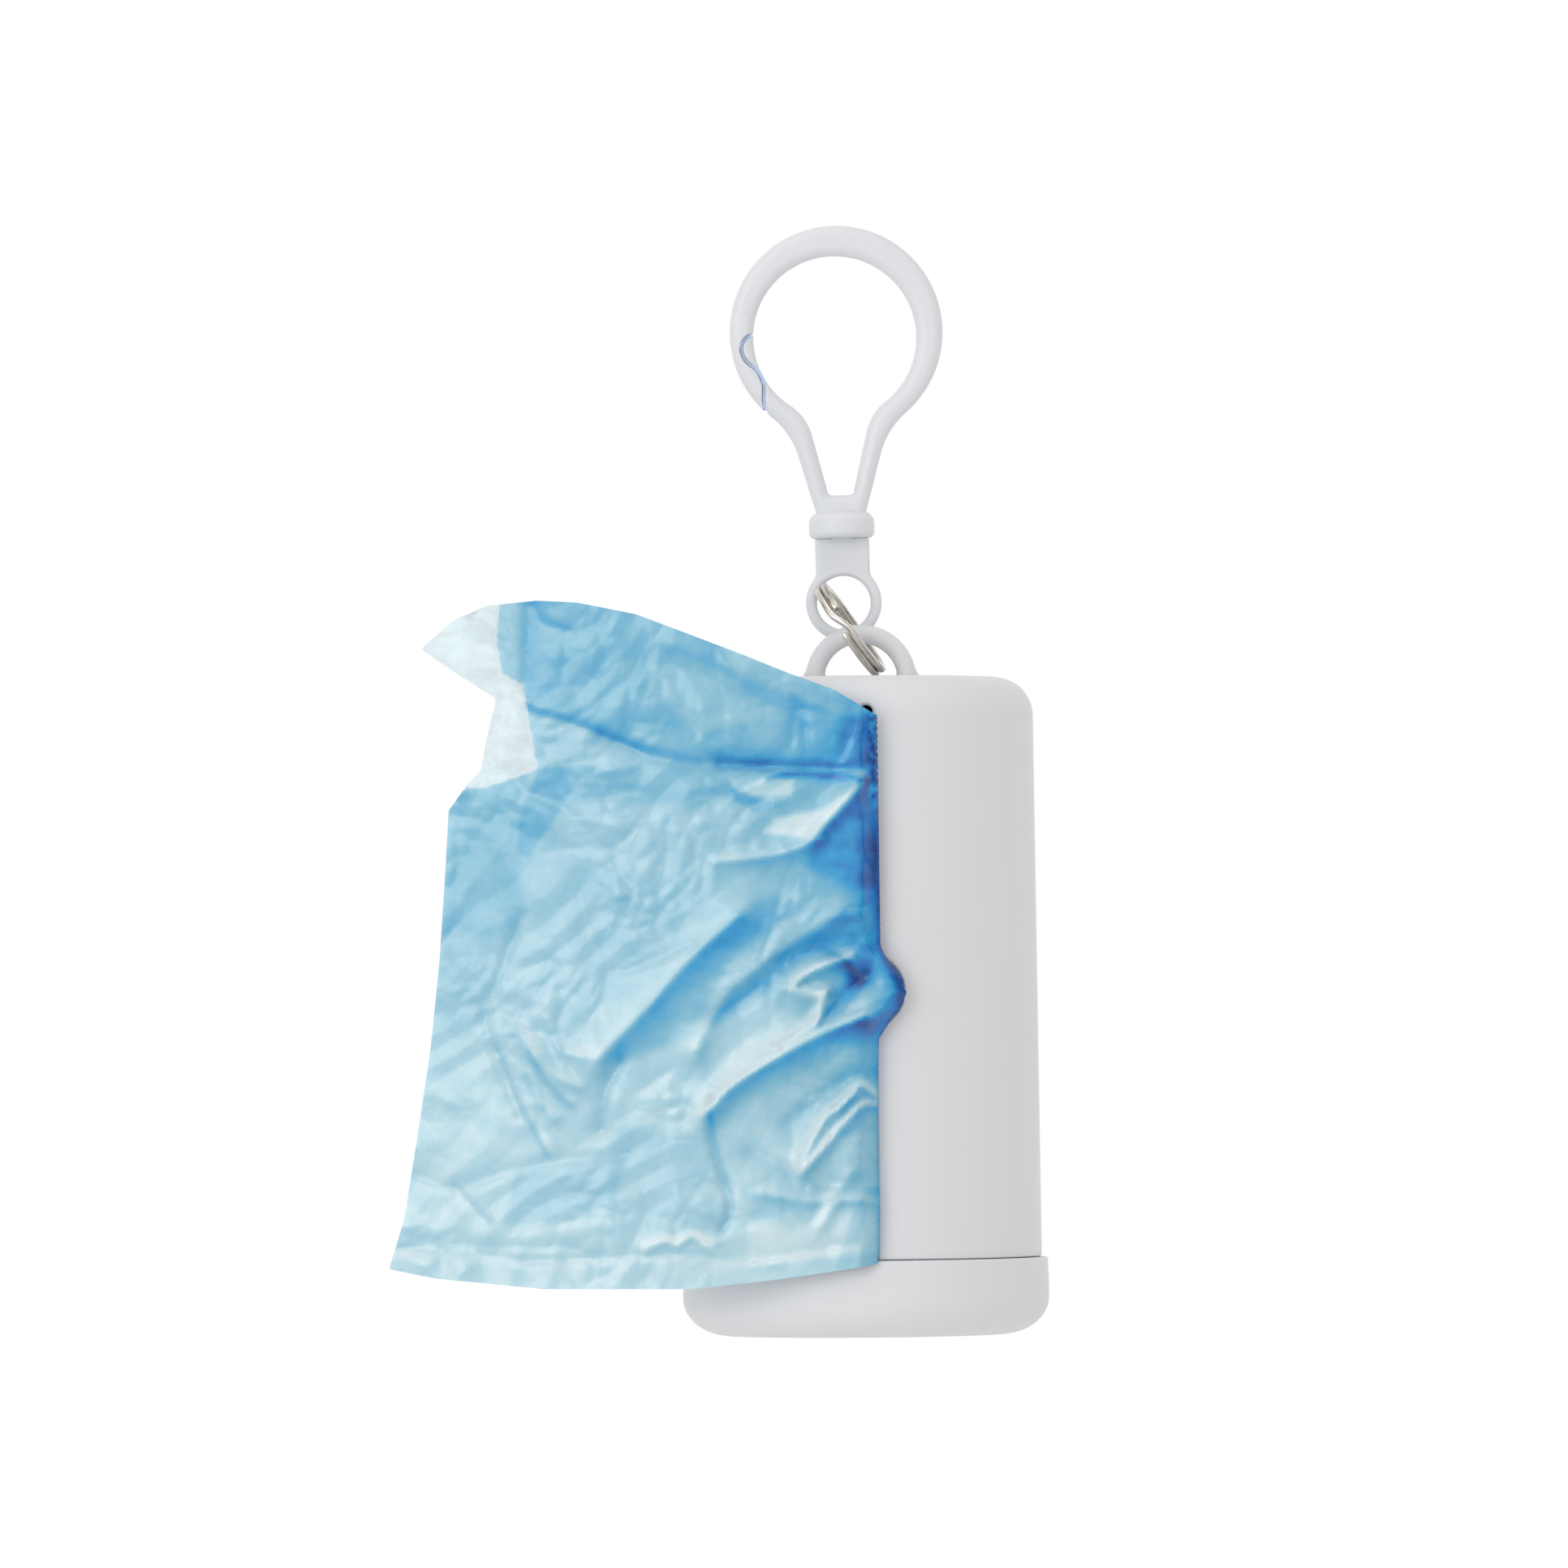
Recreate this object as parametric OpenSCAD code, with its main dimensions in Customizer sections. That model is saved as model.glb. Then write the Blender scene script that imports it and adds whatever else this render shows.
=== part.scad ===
// Dog poop bag dispenser: a slotted casing that holds a roll of bags, closed by an end cap,
// with a moulded loop, a split ring and a swivelling snap hook that hangs on a leash.
// Units are millimetres. Heights are measured from the underside of the end cap,
// and the finished part is moved so that its origin is the place where the hook hangs.

/* [Casing] */
// Outside diameter of the casing where it meets the end cap
casing_d = 40.4; // [36:0.2:52]
// Height of the casing's flat top above the underside of the end cap
casing_h = 75.3; // [62:0.1:92]
// Thickness of the casing's wall and top
casing_wall = 1.6; // [1.4:0.1:2]
// How much the casing's radius shrinks from the end cap to the top
casing_draft = 0.5; // [0:0.1:1]
// Radius of the casing's rounded top edge
top_edge_r = 4.4; // [2:0.1:6]
// How far the casing's neck is set back to enter the end cap
neck_step = 0.6; // [0.4:0.05:0.7]
// Depth of the neck inside the end cap
neck_len = 3.8; // [2:0.1:4]

/* [Slot] */
// Width of the slot that the bags are pulled through
slot_w = 1.55; // [1.3:0.05:2.4]
// Distance from the casing's top down to the end of the slot
slot_below_top = 3.4; // [2.4:0.1:10]
// Radius of the finger notch
notch_r = 4; // [3:0.1:6]
// Height of the finger notch
notch_h = 39.4; // [30:0.1:50]
// Radius of the fillets between the notch and the slot
notch_fillet_r = 2.6; // [1:0.1:4]

/* [End cap] */
// Height of the end cap
cap_h = 8.8; // [7.4:0.1:12]
// How far the end cap stands out beyond the casing
cap_lip = 0.8; // [0.4:0.1:1.6]
// Thickness of the end cap's floor
cap_floor = 1.8; // [1.2:0.1:2.4]
// Radius of the end cap's rounded lower edge
cap_edge_r = 4.8; // [2:0.1:5.5]
// Radius of the rounded corner inside the end cap
cap_inner_r = 3.2; // [1:0.1:3.4]
// Gap all round between the casing's neck and the end cap
cap_fit = 0.08; // [0.03:0.01:0.1]
// Gap of the seam between the end cap and the casing's shoulder
seam_gap = 0.12; // [0.05:0.01:0.3]

/* [Hanging loop] */
// Radius of the opening of the loop on the casing's top
loop_inner_r = 4.22; // [3.8:0.02:6]
// Diameter of the loop's round bar
loop_bar_d = 2.16; // [1.6:0.02:2.6]

/* [Split ring] */
// Outside diameter of the split ring
ring_d = 12.3; // [11.6:0.1:16]
// Thickness of the ring's wire, outwards from the middle of the ring
wire_t = 1.1; // [0.8:0.05:1.3]
// Width of the ring's wire, along the ring's axis
wire_w = 0.65; // [0.5:0.05:0.8]
// Gap between the ring's two turns
turn_gap = 0.45; // [0.42:0.01:0.6]
// Lean of the ring from upright, its upper end to the left
ring_lean = 34.5; // [30:0.5:40]
// Turn of the ring about its long direction
ring_turn = 5.7; // [0:0.1:8]
// Gap between the ring and the casing's top
ring_above_top = 0.3; // [0.2:0.05:1]

/* [Swivel eye] */
// Radius of the hole in the eye
eye_hole_r = 3.1; // [2.9:0.05:4]
// Width of the rim round the eye's hole
eye_rim = 1.25; // [1:0.05:1.6]
// Thickness of the eye and its neck
eye_t = 2.2; // [1.8:0.1:2.4]
// Width of the neck above the eye
eye_neck_w = 6.2; // [5:0.1:7]
// Radius of the swivel pin
pin_r = 1.6; // [1.2:0.05:1.8]
// Radius of the swivel pin's head
pin_head_r = 2.3; // [2:0.05:2.5]
// Height of the swivel pin's head
pin_head_h = 1.7; // [1.2:0.1:2]
// Running gap round the swivel pin and its head
pin_fit = 0.06; // [0.02:0.01:0.1]

/* [Snap hook] */
// Thickness of the snap hook
hook_t = 4; // [3:0.1:5]
// Radius of the outside of the hook's bow
bow_outer_r = 12.24; // [11.8:0.1:14]
// Radius of the inside of the hook's bow
bow_inner_r = 9.4; // [8:0.1:9.8]
// Height of the middle of the bow's outside above the middle of the eye
bow_up = 31.15; // [30.5:0.05:33]
// How far the middle of the bow's inside lies below the middle of its outside
bow_drop = 0.6; // [0:0.05:1]
// Diameter of the round collar
collar_d = 7.54; // [7:0.02:9]
// Height of the collar
collar_h = 3.05; // [2.8:0.05:4]
// Height of the collar's lower face above the middle of the eye
collar_up = 7.4; // [6:0.1:8]
// Lean of the hook and eye from upright, to the left
hook_lean = 1.15; // [0:0.05:3]
// Width of the split between the bow and the gate
split_gap = 0.6; // [0.4:0.05:0.8]
// Radius of the round root that the gate turns on
gate_root_r = 1.05; // [0.9:0.01:1.1]

/* [Roll and bag] */
// Free room all round the roll of bags, inside the casing
roll_room = 3.1; // [1.5:0.1:6]
// Free room above the roll of bags
roll_headroom = 9.4; // [1:0.1:20]
// Outside diameter of the cardboard tube
core_d = 15; // [12:0.5:18]
// Thickness of the cardboard
core_wall = 1; // [0.6:0.1:1.5]
// Thickness of the folded bag
bag_t = 1.2; // [0.8:0.1:1.6]
// Thickness of the bag's lead where it goes through the slot
lead_t = 1; // [0.6:0.1:1.1]
// Radius of the gentle curve that the pulled bag lies in
bag_curve_r = 150; // [120:5:300]

/* [Hidden] */
$fn = 64;
// Extra depth of a cut, so that it runs clear past a face
past = 1;
// Segments of a profile's rounded corner
corner_steps = 8;

// Casing and end cap
casing_r = casing_d / 2;
casing_top_r = casing_r - casing_draft;
bore_r = casing_r - casing_wall;
shoulder_z = cap_h + seam_gap;
neck_r = casing_r - neck_step;
neck_z = shoulder_z - neck_len;
cap_r = casing_r + cap_lip;
cap_bore_r = neck_r + cap_fit;
cap_rim_chamfer = 0.3;
slot_top_z = casing_h - slot_below_top;

// Hanging loop
loop_r = loop_inner_r + loop_bar_d / 2;
loop_sink = 0.2;

// Split ring: the middle of the wire, the shift from turn to turn, and the short step between the turns
ring_r = (ring_d - wire_t) / 2;
ring_pitch = wire_w + turn_gap;
ring_half_w = (ring_pitch + wire_w) / 2;
rings_per_turn = 24;
step_half_angle = 15;
step_at = -105;
ring_turns_angle = 720 - 2 * step_half_angle;
ring_rings = round(ring_turns_angle / 360 * rings_per_turn);
ring_reach_down = ring_r * cos(ring_lean) + norm([wire_t / 2 * cos(ring_lean), ring_half_w * sin(ring_lean)]);
ring_left = 1.2;
ring_behind = 0.2;
ring_at = [-ring_left, ring_behind, casing_h + ring_above_top + ring_reach_down];

// Swivel eye: its middle lies to the left of, behind and above the ring's middle,
// so far behind that the wire goes through its hole a set distance up from the ring's middle
eye_r = eye_hole_r + eye_rim;
wire_up = 4.29;
eye_left = 0.6;
eye_wire_room = 0.15;
eye_from_ring = [-eye_left, sqrt(pow(ring_r, 2) - pow(wire_up, 2)), eye_wire_room + eye_hole_r];
eye_at = ring_at + eye_from_ring;
eye_chamfer = 0.4;
eye_neck_fillet_r = 1.6;
pin_play = 0.15;
pocket_floor_t = 1.3;
pocket_floor_up = collar_up + pocket_floor_t;
pocket_h = pin_head_h + 2 * pin_play;

// Snap hook, measured from the middle of the eye
bow_at = [0, bow_up];
bow_inner_at = [-0.17, bow_up - bow_drop];
arm_z = 10.7;
arm_half_w = 2.95;
arm_lean = 15.74;
arm_fillet_r = 9.5;
throat_z = 12.35;
throat_half_w = 1.4;
throat_lean = 13.9;
throat_fillet_r = 6;
collar_edge_r = 0.9;

// The gate turns on the middle of its arm's root, and the split between gate and bow is an S
gate_root_z = 13.6;
gate_root_x = -(side_x(arm_half_w, arm_z, arm_lean, gate_root_z)
                + side_x(throat_half_w, throat_z, throat_lean, gate_root_z)) / 2;
gate_root = [gate_root_x, gate_root_z];
gate_root_fit = 0.08;
gate_arm_lean = (arm_lean + throat_lean) / 2;
// Each point is an angle round the bow's middle and a share of the way in from its outside to its inside
split_path = [[229, -0.45], [223.5, 0.24], [215.5, 0.7], [204.5, 0.79], [196, 0.52], [189, 0.46], [182.5, 0.75],
              [175, 1.17]];
split_points = [for (p = split_path) bow_at + (bow_outer_r + (bow_inner_r - bow_outer_r) * p[1]) * unit(p[0])];
split_steps = 4;
gate_inside_x = -0.5;
gate_outside_x = -7;

// The hook hangs from the inside of its bow's top, and the part's origin is there
hang_from_eye = [bow_inner_at[0], 0, bow_inner_at[1] + bow_inner_r];
hang_at = eye_at + lean_over(hang_from_eye, hook_lean);

// Roll and bag
roll_z = cap_floor + 0.5;
roll_r = bore_r - roll_room;
roll_len = casing_h - casing_wall - roll_headroom - roll_z;
roll_gap = 0.4;
core_fit = 0.05;
bag_clear = 0.4;
round_fn = 128;
bag_fn = 256;
bag_y = -(cap_r + bag_clear + bag_t / 2);
lead_bottom_z = cap_h + bag_clear;
lead_top_room = 1.2;
lead_top_z = slot_top_z - lead_top_room;
// Outline of the pulled bag, seen from the front: across, and up from the underside of the end cap,
// drawn for a roll of bags of the length below
bag_drawn_len = 62;
bag_outline = [[0.4, 70.8], [-3.8, 73.6], [-8.7, 75.4], [-15, 78], [-26, 82.3], [-32.6, 83.7], [-37.3, 84],
               [-42.9, 83.5], [-46.9, 81.8], [-50.4, 78.7], [-46.6, 76], [-41.9, 72.9], [-43.7, 64.8],
               [-47.4, 60.3], [-47.9, 52.6], [-49.7, 33.1], [-52.8, 14], [-54.6, 8.2], [-49.1, 7.1],
               [-37, 5.7], [-20.2, 5.6], [-10, 6.7], [1.3, 8.6], [1.2, 34], [3, 37], [3, 42], [1.2, 45],
               [1.1, 70]];

// Points along an arc in a plane
function arc(c, r, a0, a1, n = corner_steps) = [for (i = [0:n]) c + r * unit(a0 + (a1 - a0) * i / n)];

// Unit vector at an angle
function unit(a) = [cos(a), sin(a)];

// Last item of a list
function last(list) = list[len(list) - 1];

// A point leaned over to the left by an angle, in the plane that is seen from the front
function lean_over(p, a) = [p[0] * cos(a) - p[2] * sin(a), p[1], p[0] * sin(a) + p[2] * cos(a)];

// Half width at height z of a wedge that is w wide each way at height z0 and leans outwards
function side_x(w, z0, lean, z) = w + (z - z0) * tan(lean);

// Point on a smooth curve through four points, from the second at t = 0 to the third at t = 1
function between(a, b, c, d, t) =
    0.5 * (2 * b + (c - a) * t + (2 * a - 5 * b + 4 * c - d) * t * t + (3 * b - a - 3 * c + d) * t * t * t);

// Smooth curve through a list of points, without its first and last point
function smooth(p, n) = [for (i = [1:len(p) - 3]) for (k = [0:n - 1])
    between(p[i - 1], p[i], p[i + 1], p[i + 2], k / n)];

// A curve moved sideways by a distance, to its left
function moved_left(p, d) = [for (i = [0:len(p) - 1])
    let (along = p[min(i + 1, len(p) - 1)] - p[max(i - 1, 0)])
    p[i] + d * [-along[1], along[0]] / norm(along)];

// Moves the finished part so that its origin is where the hook hangs
module placed() {
    translate(-hang_at) children();
}

// Places what belongs to the eye and the hook, drawn about the middle of the eye
module on_eye() {
    placed() translate(eye_at) rotate([0, -hook_lean, 0]) children();
}

// Turns an outline that is seen from the front into a plate of thickness t, halfway round y = 0
module front_plate(t) {
    translate([0, t / 2, 0]) rotate([90, 0, 0]) linear_extrude(t) children();
}

// Half of a fillet that joins a circle to the right side of a wedge that leans outwards
module bulb_fillet(c, r, w, z0, lean, fillet) {
    outwards = unit(-lean);
    upwards = unit(90 - lean);
    from_c = [w, z0] + fillet * outwards - c;
    t = -from_c * upwards - sqrt(pow(from_c * upwards, 2) - from_c * from_c + pow(r + fillet, 2));
    middle = c + from_c + t * upwards;
    on_side = middle - fillet * outwards;
    on_circle = c + (middle - c) * r / (r + fillet);
    difference() {
        polygon([[c[0], z0], [w, z0], on_side, middle, on_circle, c]);
        translate(middle) circle(fillet, $fn = round_fn);
    }
}

// Outline of a bulb: a round bow that runs down into a wedge, with fillets between them
module bulb(c, r, w, z0, lean, fillet) {
    translate(c) circle(r, $fn = round_fn);
    bulb_fillet(c, r, w, z0, lean, fillet);
    mirror([1, 0]) bulb_fillet([-c[0], c[1]], r, w, z0, lean, fillet);
}

// Outline of the clip's bow and both arms, with the open throat between them
module clip_outline() {
    difference() {
        bulb(bow_at, bow_outer_r, arm_half_w, arm_z, arm_lean, arm_fillet_r);
        bulb(bow_inner_at, bow_inner_r, throat_half_w, throat_z, throat_lean, throat_fillet_r);
    }
}

// Region of the gate: the left arm from its root to the split, which moves left by grow
module gate_region(grow) {
    split = moved_left(smooth(split_points, split_steps), grow);
    root_line = tan(gate_arm_lean);
    polygon(concat(split, [
        [gate_inside_x, last(split_points)[1]],
        [gate_inside_x, gate_root[1] + (gate_inside_x - gate_root[0]) * root_line],
        [gate_outside_x, gate_root[1] + (gate_outside_x - gate_root[0]) * root_line],
        [split[0][0] - grow, split[0][1] - grow]
    ]));
}

module hook() {
    color([0.89, 0.89, 0.9]) on_eye() difference() {
        union() {
            front_plate(hook_t) difference() {
                clip_outline();
                gate_region(split_gap);
                translate(gate_root) circle(gate_root_r + gate_root_fit);
            }
            rotate_extrude() collar_profile();
            translate([-arm_half_w, -hook_t / 2, collar_up + collar_h / 2])
                cube([2 * arm_half_w, hook_t, arm_z - collar_up - collar_h / 2]);
        }
        cylinder_up(collar_up - past, pocket_floor_up + past, pin_r + pin_fit);
        cylinder_up(pocket_floor_up, pocket_floor_up + pocket_h, pin_head_r + pin_fit);
    }
}

// Half section of the round collar
module collar_profile() {
    low = [collar_d / 2 - collar_edge_r, collar_up + collar_edge_r];
    high = [low[0], collar_up + collar_h - collar_edge_r];
    polygon(concat([[0, collar_up]], arc(low, collar_edge_r, -90, 0), arc(high, collar_edge_r, 0, 90),
                   [[0, collar_up + collar_h]]));
}

module hook_gate() {
    color([0.87, 0.87, 0.89]) on_eye() front_plate(hook_t) {
        intersection() {
            clip_outline();
            gate_region(0);
        }
        translate(gate_root) circle(gate_root_r);
    }
}

module swivel_eye() {
    neck_top = collar_up - pin_play;
    color([0.88, 0.88, 0.9]) on_eye() difference() {
        union() {
            front_plate(eye_t) eye_outline(neck_top);
            cylinder_up(neck_top - past, pocket_floor_up + 2 * pin_play, pin_r);
            cylinder_up(pocket_floor_up + pin_play, pocket_floor_up + pin_play + pin_head_h, pin_head_r);
        }
        front_hole(eye_t + 2 * past, eye_hole_r);
        for (side = [-1, 1])
            scale([1, side, 1]) translate([0, eye_t / 2 - eye_chamfer, 0]) rotate([-90, 0, 0])
                cylinder(r1 = eye_hole_r, r2 = eye_hole_r + eye_chamfer, h = eye_chamfer);
    }
}

// Upright cylinder from one height to another
module cylinder_up(z0, z1, r) {
    translate([0, 0, z0]) cylinder(r = r, h = z1 - z0);
}

// Round hole along y, halfway round y = 0
module front_hole(t, r) {
    translate([0, t / 2, 0]) rotate([90, 0, 0]) cylinder(r = r, h = t);
}

// Outline of the eye's disc and the flat neck above it, with fillets where they meet
module eye_outline(neck_top) {
    f = eye_neck_fillet_r;
    x = eye_neck_w / 2 + f;
    z = sqrt(pow(eye_r + f, 2) - x * x);
    circle(eye_r);
    translate([-eye_neck_w / 2, 0]) square([eye_neck_w, neck_top]);
    for (side = [-1, 1])
        scale([side, 1]) difference() {
            polygon([[0, 0], [x, z] * eye_r / (eye_r + f), [x, z], [eye_neck_w / 2, z]]);
            translate([x, z]) circle(f);
        }
}

// How far along the ring's axis the wire lies at an angle of its path
function ring_shift(a) =
    let (t = max(0, min(1, (a - 360 + step_half_angle) / (2 * step_half_angle))))
    ring_pitch * (t * t * (3 - 2 * t) - 0.5);

// Section of the wire: outwards from the ring's middle, and along its axis
function wire_section(flat = 0.26, half = 0.5) =
    [[half, 0], [flat, half], [-flat, half], [-half, 0], [-flat, -half], [flat, -half]];

// Corner k of the wire at an angle of its path
function wire_point(a, k) =
    let (s = wire_section()[k], r = ring_r + s[0] * wire_t)
    [r * cos(a + step_at), r * sin(a + step_at), ring_shift(a) + s[1] * wire_w];

// Angles of the wire's sections along its path
function ring_angles() = [for (i = [0:ring_rings]) step_half_angle + ring_turns_angle * i / ring_rings];

// Faces of a tube of n sides over m sections
function tube_faces(n, m) = concat(
    [for (i = [0:m - 2]) for (k = [0:n - 1]) [i * n + k, i * n + (k + 1) % n, (i + 1) * n + (k + 1) % n]],
    [for (i = [0:m - 2]) for (k = [0:n - 1]) [i * n + k, (i + 1) * n + (k + 1) % n, (i + 1) * n + k]],
    [for (k = [1:n - 2]) [0, k + 1, k]],
    [for (k = [1:n - 2]) [(m - 1) * n, (m - 1) * n + k, (m - 1) * n + k + 1]]);

// Least distance between parts of the wire that are more than a quarter turn of its path apart
ring_self_gap = min([for (a = ring_angles()) for (b = ring_angles()) if (b > a + 90)
    for (j = [0:5]) for (k = [0:5]) norm(wire_point(a, j) - wire_point(b, k))]);

module split_ring() {
    sides = len(wire_section());
    points = [for (a = ring_angles()) for (k = [0:sides - 1]) wire_point(a, k)];
    echo(ring_self_gap = ring_self_gap);
    color([0.78, 0.78, 0.8]) placed() translate(ring_at)
        rotate([0, 90 - ring_lean, 0]) rotate([ring_turn, 0, 0])
            polyhedron(points, tube_faces(sides, len(ring_angles())));
}

// Half section of the casing
module casing_profile() {
    edge = [casing_top_r - top_edge_r, casing_h - top_edge_r];
    polygon(concat(
        [[0, casing_h]],
        arc(edge, top_edge_r, 90, 0),
        [[casing_r, shoulder_z], [neck_r, shoulder_z], [neck_r, neck_z], [bore_r, neck_z]],
        arc(edge, top_edge_r - casing_wall, 0, 90),
        [[0, casing_h - casing_wall]]
    ));
}

// Flank of the notch at one corner: the fillet from the notch's circle up to the slot's side
function notch_flank() =
    let (x = slot_w / 2 + notch_fillet_r, z = sqrt(pow(notch_r + notch_fillet_r, 2) - x * x))
    arc([x, z], notch_fillet_r, 180 + atan2(z, x), 180);

// Outline of the slot and the finger notch
module slot_outline() {
    half = slot_w / 2;
    right = concat(notch_flank(), [[0, last(notch_flank())[1]]]);
    translate([-half, neck_z - past]) square([slot_w, slot_top_z - half - neck_z + past]);
    translate([0, slot_top_z - half]) circle(half);
    translate([0, notch_h]) {
        circle(notch_r);
        for (side = [-1, 1])
            for (end = [-1, 1])
                polygon(concat([[0, 0]], [for (p = right) [side * p[0], end * p[1]]]));
    }
}

module casing() {
    color([0.87, 0.87, 0.88]) placed() difference() {
        union() {
            rotate_extrude($fn = round_fn) casing_profile();
            translate([0, 0, casing_h - loop_sink]) rotate([90, 0, 0])
                rotate_extrude(angle = 180) translate([loop_r, 0]) circle(d = loop_bar_d);
        }
        translate([0, -core_d / 2, 0]) rotate([90, 0, 0]) linear_extrude(casing_r) slot_outline();
    }
}

// Half section of the end cap
module cap_profile() {
    polygon(concat(
        [[0, 0]],
        arc([cap_r - cap_edge_r, cap_edge_r], cap_edge_r, -90, 0),
        [[cap_r, cap_h - cap_rim_chamfer], [cap_r - cap_rim_chamfer, cap_h], [cap_bore_r, cap_h]],
        arc([cap_bore_r - cap_inner_r, cap_floor + cap_inner_r], cap_inner_r, 0, -90),
        [[0, cap_floor]]
    ));
}

module end_cap() {
    color([0.87, 0.87, 0.88]) placed() rotate_extrude($fn = round_fn) cap_profile();
}

// Tube that stands where the roll stands
module roll_tube(outer_r, inner_r) {
    placed() translate([0, 0, roll_z]) difference() {
        cylinder(r = outer_r, h = roll_len);
        translate([0, 0, -past]) cylinder(r = inner_r, h = roll_len + 2 * past);
    }
}

module core_tube() {
    color([0.72, 0.6, 0.45]) roll_tube(core_d / 2, core_d / 2 - core_wall);
}

module bag_roll() {
    color([0.2, 0.42, 0.72]) roll_tube(roll_r, core_d / 2 + core_fit);
}

// Curved wall that the pulled bag is cut from
module bag_wall() {
    middle = bag_y + bag_curve_r;
    wall_h = casing_h * 2;
    translate([0, middle, -past]) rotate_extrude($fn = bag_fn)
        translate([bag_curve_r - bag_t / 2, 0]) square([bag_t, wall_h]);
}

module pulled_bag() {
    lead_back_y = -(roll_r + roll_gap);
    color([0.6, 0.8, 0.92]) placed() union() {
        intersection() {
            bag_wall();
            translate([0, 0, roll_z]) rotate([90, 0, 0]) linear_extrude(casing_d)
                polygon([for (p = bag_outline) [p[0], (p[1] - roll_z) * roll_len / bag_drawn_len]]);
        }
        translate([-lead_t / 2, bag_y, lead_bottom_z])
            cube([lead_t, lead_back_y - bag_y, lead_top_z - lead_bottom_z]);
    }
}

hook();
hook_gate();
swivel_eye();
split_ring();
casing();
end_cap();
core_tube();
bag_roll();
pulled_bag();
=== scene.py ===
# %% [markdown]
# A dog poop bag dispenser hangs here by its clip: a white slotted casing with a roll of bags
# inside, an end cap, a split ring and a swivelling snap hook. Its pieces were already built to
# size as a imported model. That model is the frame: nothing in it is moved. Each visible piece
# below is a finer mesh that stands exactly where its plain solid stands.

# %% Load the frame
import math

import bmesh
import bpy
import numpy as np
from mathutils import Matrix, Quaternion, Vector, noise
from mathutils.geometry import delaunay_2d_cdt


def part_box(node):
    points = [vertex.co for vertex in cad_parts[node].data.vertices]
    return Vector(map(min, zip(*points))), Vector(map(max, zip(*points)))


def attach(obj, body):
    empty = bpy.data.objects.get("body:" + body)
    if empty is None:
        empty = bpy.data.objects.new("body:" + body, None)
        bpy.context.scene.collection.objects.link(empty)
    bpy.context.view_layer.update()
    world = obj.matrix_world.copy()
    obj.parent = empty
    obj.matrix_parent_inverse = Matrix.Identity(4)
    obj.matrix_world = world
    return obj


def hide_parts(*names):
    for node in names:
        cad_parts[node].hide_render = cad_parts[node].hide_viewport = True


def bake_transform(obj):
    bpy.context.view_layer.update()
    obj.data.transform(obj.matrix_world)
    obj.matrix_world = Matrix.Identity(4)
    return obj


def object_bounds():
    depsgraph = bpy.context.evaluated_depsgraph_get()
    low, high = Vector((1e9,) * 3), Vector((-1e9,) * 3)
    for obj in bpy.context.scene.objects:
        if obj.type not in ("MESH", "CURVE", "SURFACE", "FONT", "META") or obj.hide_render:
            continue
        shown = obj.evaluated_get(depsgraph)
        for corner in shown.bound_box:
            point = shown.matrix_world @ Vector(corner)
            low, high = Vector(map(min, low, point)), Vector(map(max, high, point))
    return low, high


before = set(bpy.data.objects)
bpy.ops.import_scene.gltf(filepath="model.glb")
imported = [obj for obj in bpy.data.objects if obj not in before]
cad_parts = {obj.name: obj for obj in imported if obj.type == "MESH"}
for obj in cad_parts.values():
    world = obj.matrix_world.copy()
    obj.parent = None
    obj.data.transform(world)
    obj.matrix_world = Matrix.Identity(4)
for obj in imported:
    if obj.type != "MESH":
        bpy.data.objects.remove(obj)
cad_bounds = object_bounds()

MM = 0.001
print("nodes in the frame:", sorted(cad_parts))

# %% [markdown]
# A turned or moulded thing is easiest to draw about its own axis, in millimetres. The end cap's
# box gives that axis and the height of its underside, so every size below is a real one and
# `on_axis` puts it in place. The eye's box gives the middle of the eye in the same way: the
# clip is drawn about that point and then leaned over by the small angle at which it hangs.

# %% Places that the frame gives
cap_low, cap_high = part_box("end_cap")
AXIS = np.array([(cap_low.x + cap_high.x) / 2, (cap_low.y + cap_high.y) / 2, cap_low.z])
eye_low, eye_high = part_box("swivel_eye")
EYE = np.array([(eye_low.x + eye_high.x) / 2, 0, eye_low.z + (eye_high.x - eye_low.x) / 2])
CLIP_LEAN = math.radians(1.15)


def on_axis(points):
    """Millimetres about the casing's axis, up from the cap's underside, to metres in the frame."""
    return AXIS + np.asarray(points, float) * MM


def on_eye(points):
    """Millimetres about the middle of the eye, before the clip leans, to metres in the frame."""
    p = np.asarray(points, float)
    x = p[:, 0] * math.cos(CLIP_LEAN) - p[:, 2] * math.sin(CLIP_LEAN)
    z = p[:, 0] * math.sin(CLIP_LEAN) + p[:, 2] * math.cos(CLIP_LEAN)
    return EYE + np.stack([x, p[:, 1], z], 1) * MM


print("casing's axis", AXIS.round(5), "middle of the eye", EYE.round(5))

# %% [markdown]
# The photograph was taken from far away with a long lens, a little to the left of the slot and
# a little below the middle of the thing, so the camera comes first. A 320 mm lens at 1.6 m
# gives that flat view. The frame leans by half a degree, which a small roll of the camera gives.

# %% Camera
CAMERA_DISTANCE = 1600
CAMERA_AIM = (-8.94, 0, 63.26)
CAMERA_HEIGHT = 36.8
CAMERA_TO_LEFT = math.radians(1.2)
CAMERA_ROLL = math.radians(-0.48)
camera_data = bpy.data.cameras.new("camera")
camera_data.lens = 320
camera_data.sensor_width = 36
camera_data.clip_start = 0.1
camera_data.clip_end = 50
camera = bpy.data.objects.new("camera", camera_data)
bpy.context.scene.collection.objects.link(camera)
bpy.context.scene.camera = camera
aim = Vector(on_axis([CAMERA_AIM])[0])
back = Vector((-math.sin(CAMERA_TO_LEFT), -math.cos(CAMERA_TO_LEFT), 0)) * CAMERA_DISTANCE * MM
camera.location = aim + back
camera.location.z = on_axis([(0, 0, CAMERA_HEIGHT)])[0][2]
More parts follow.
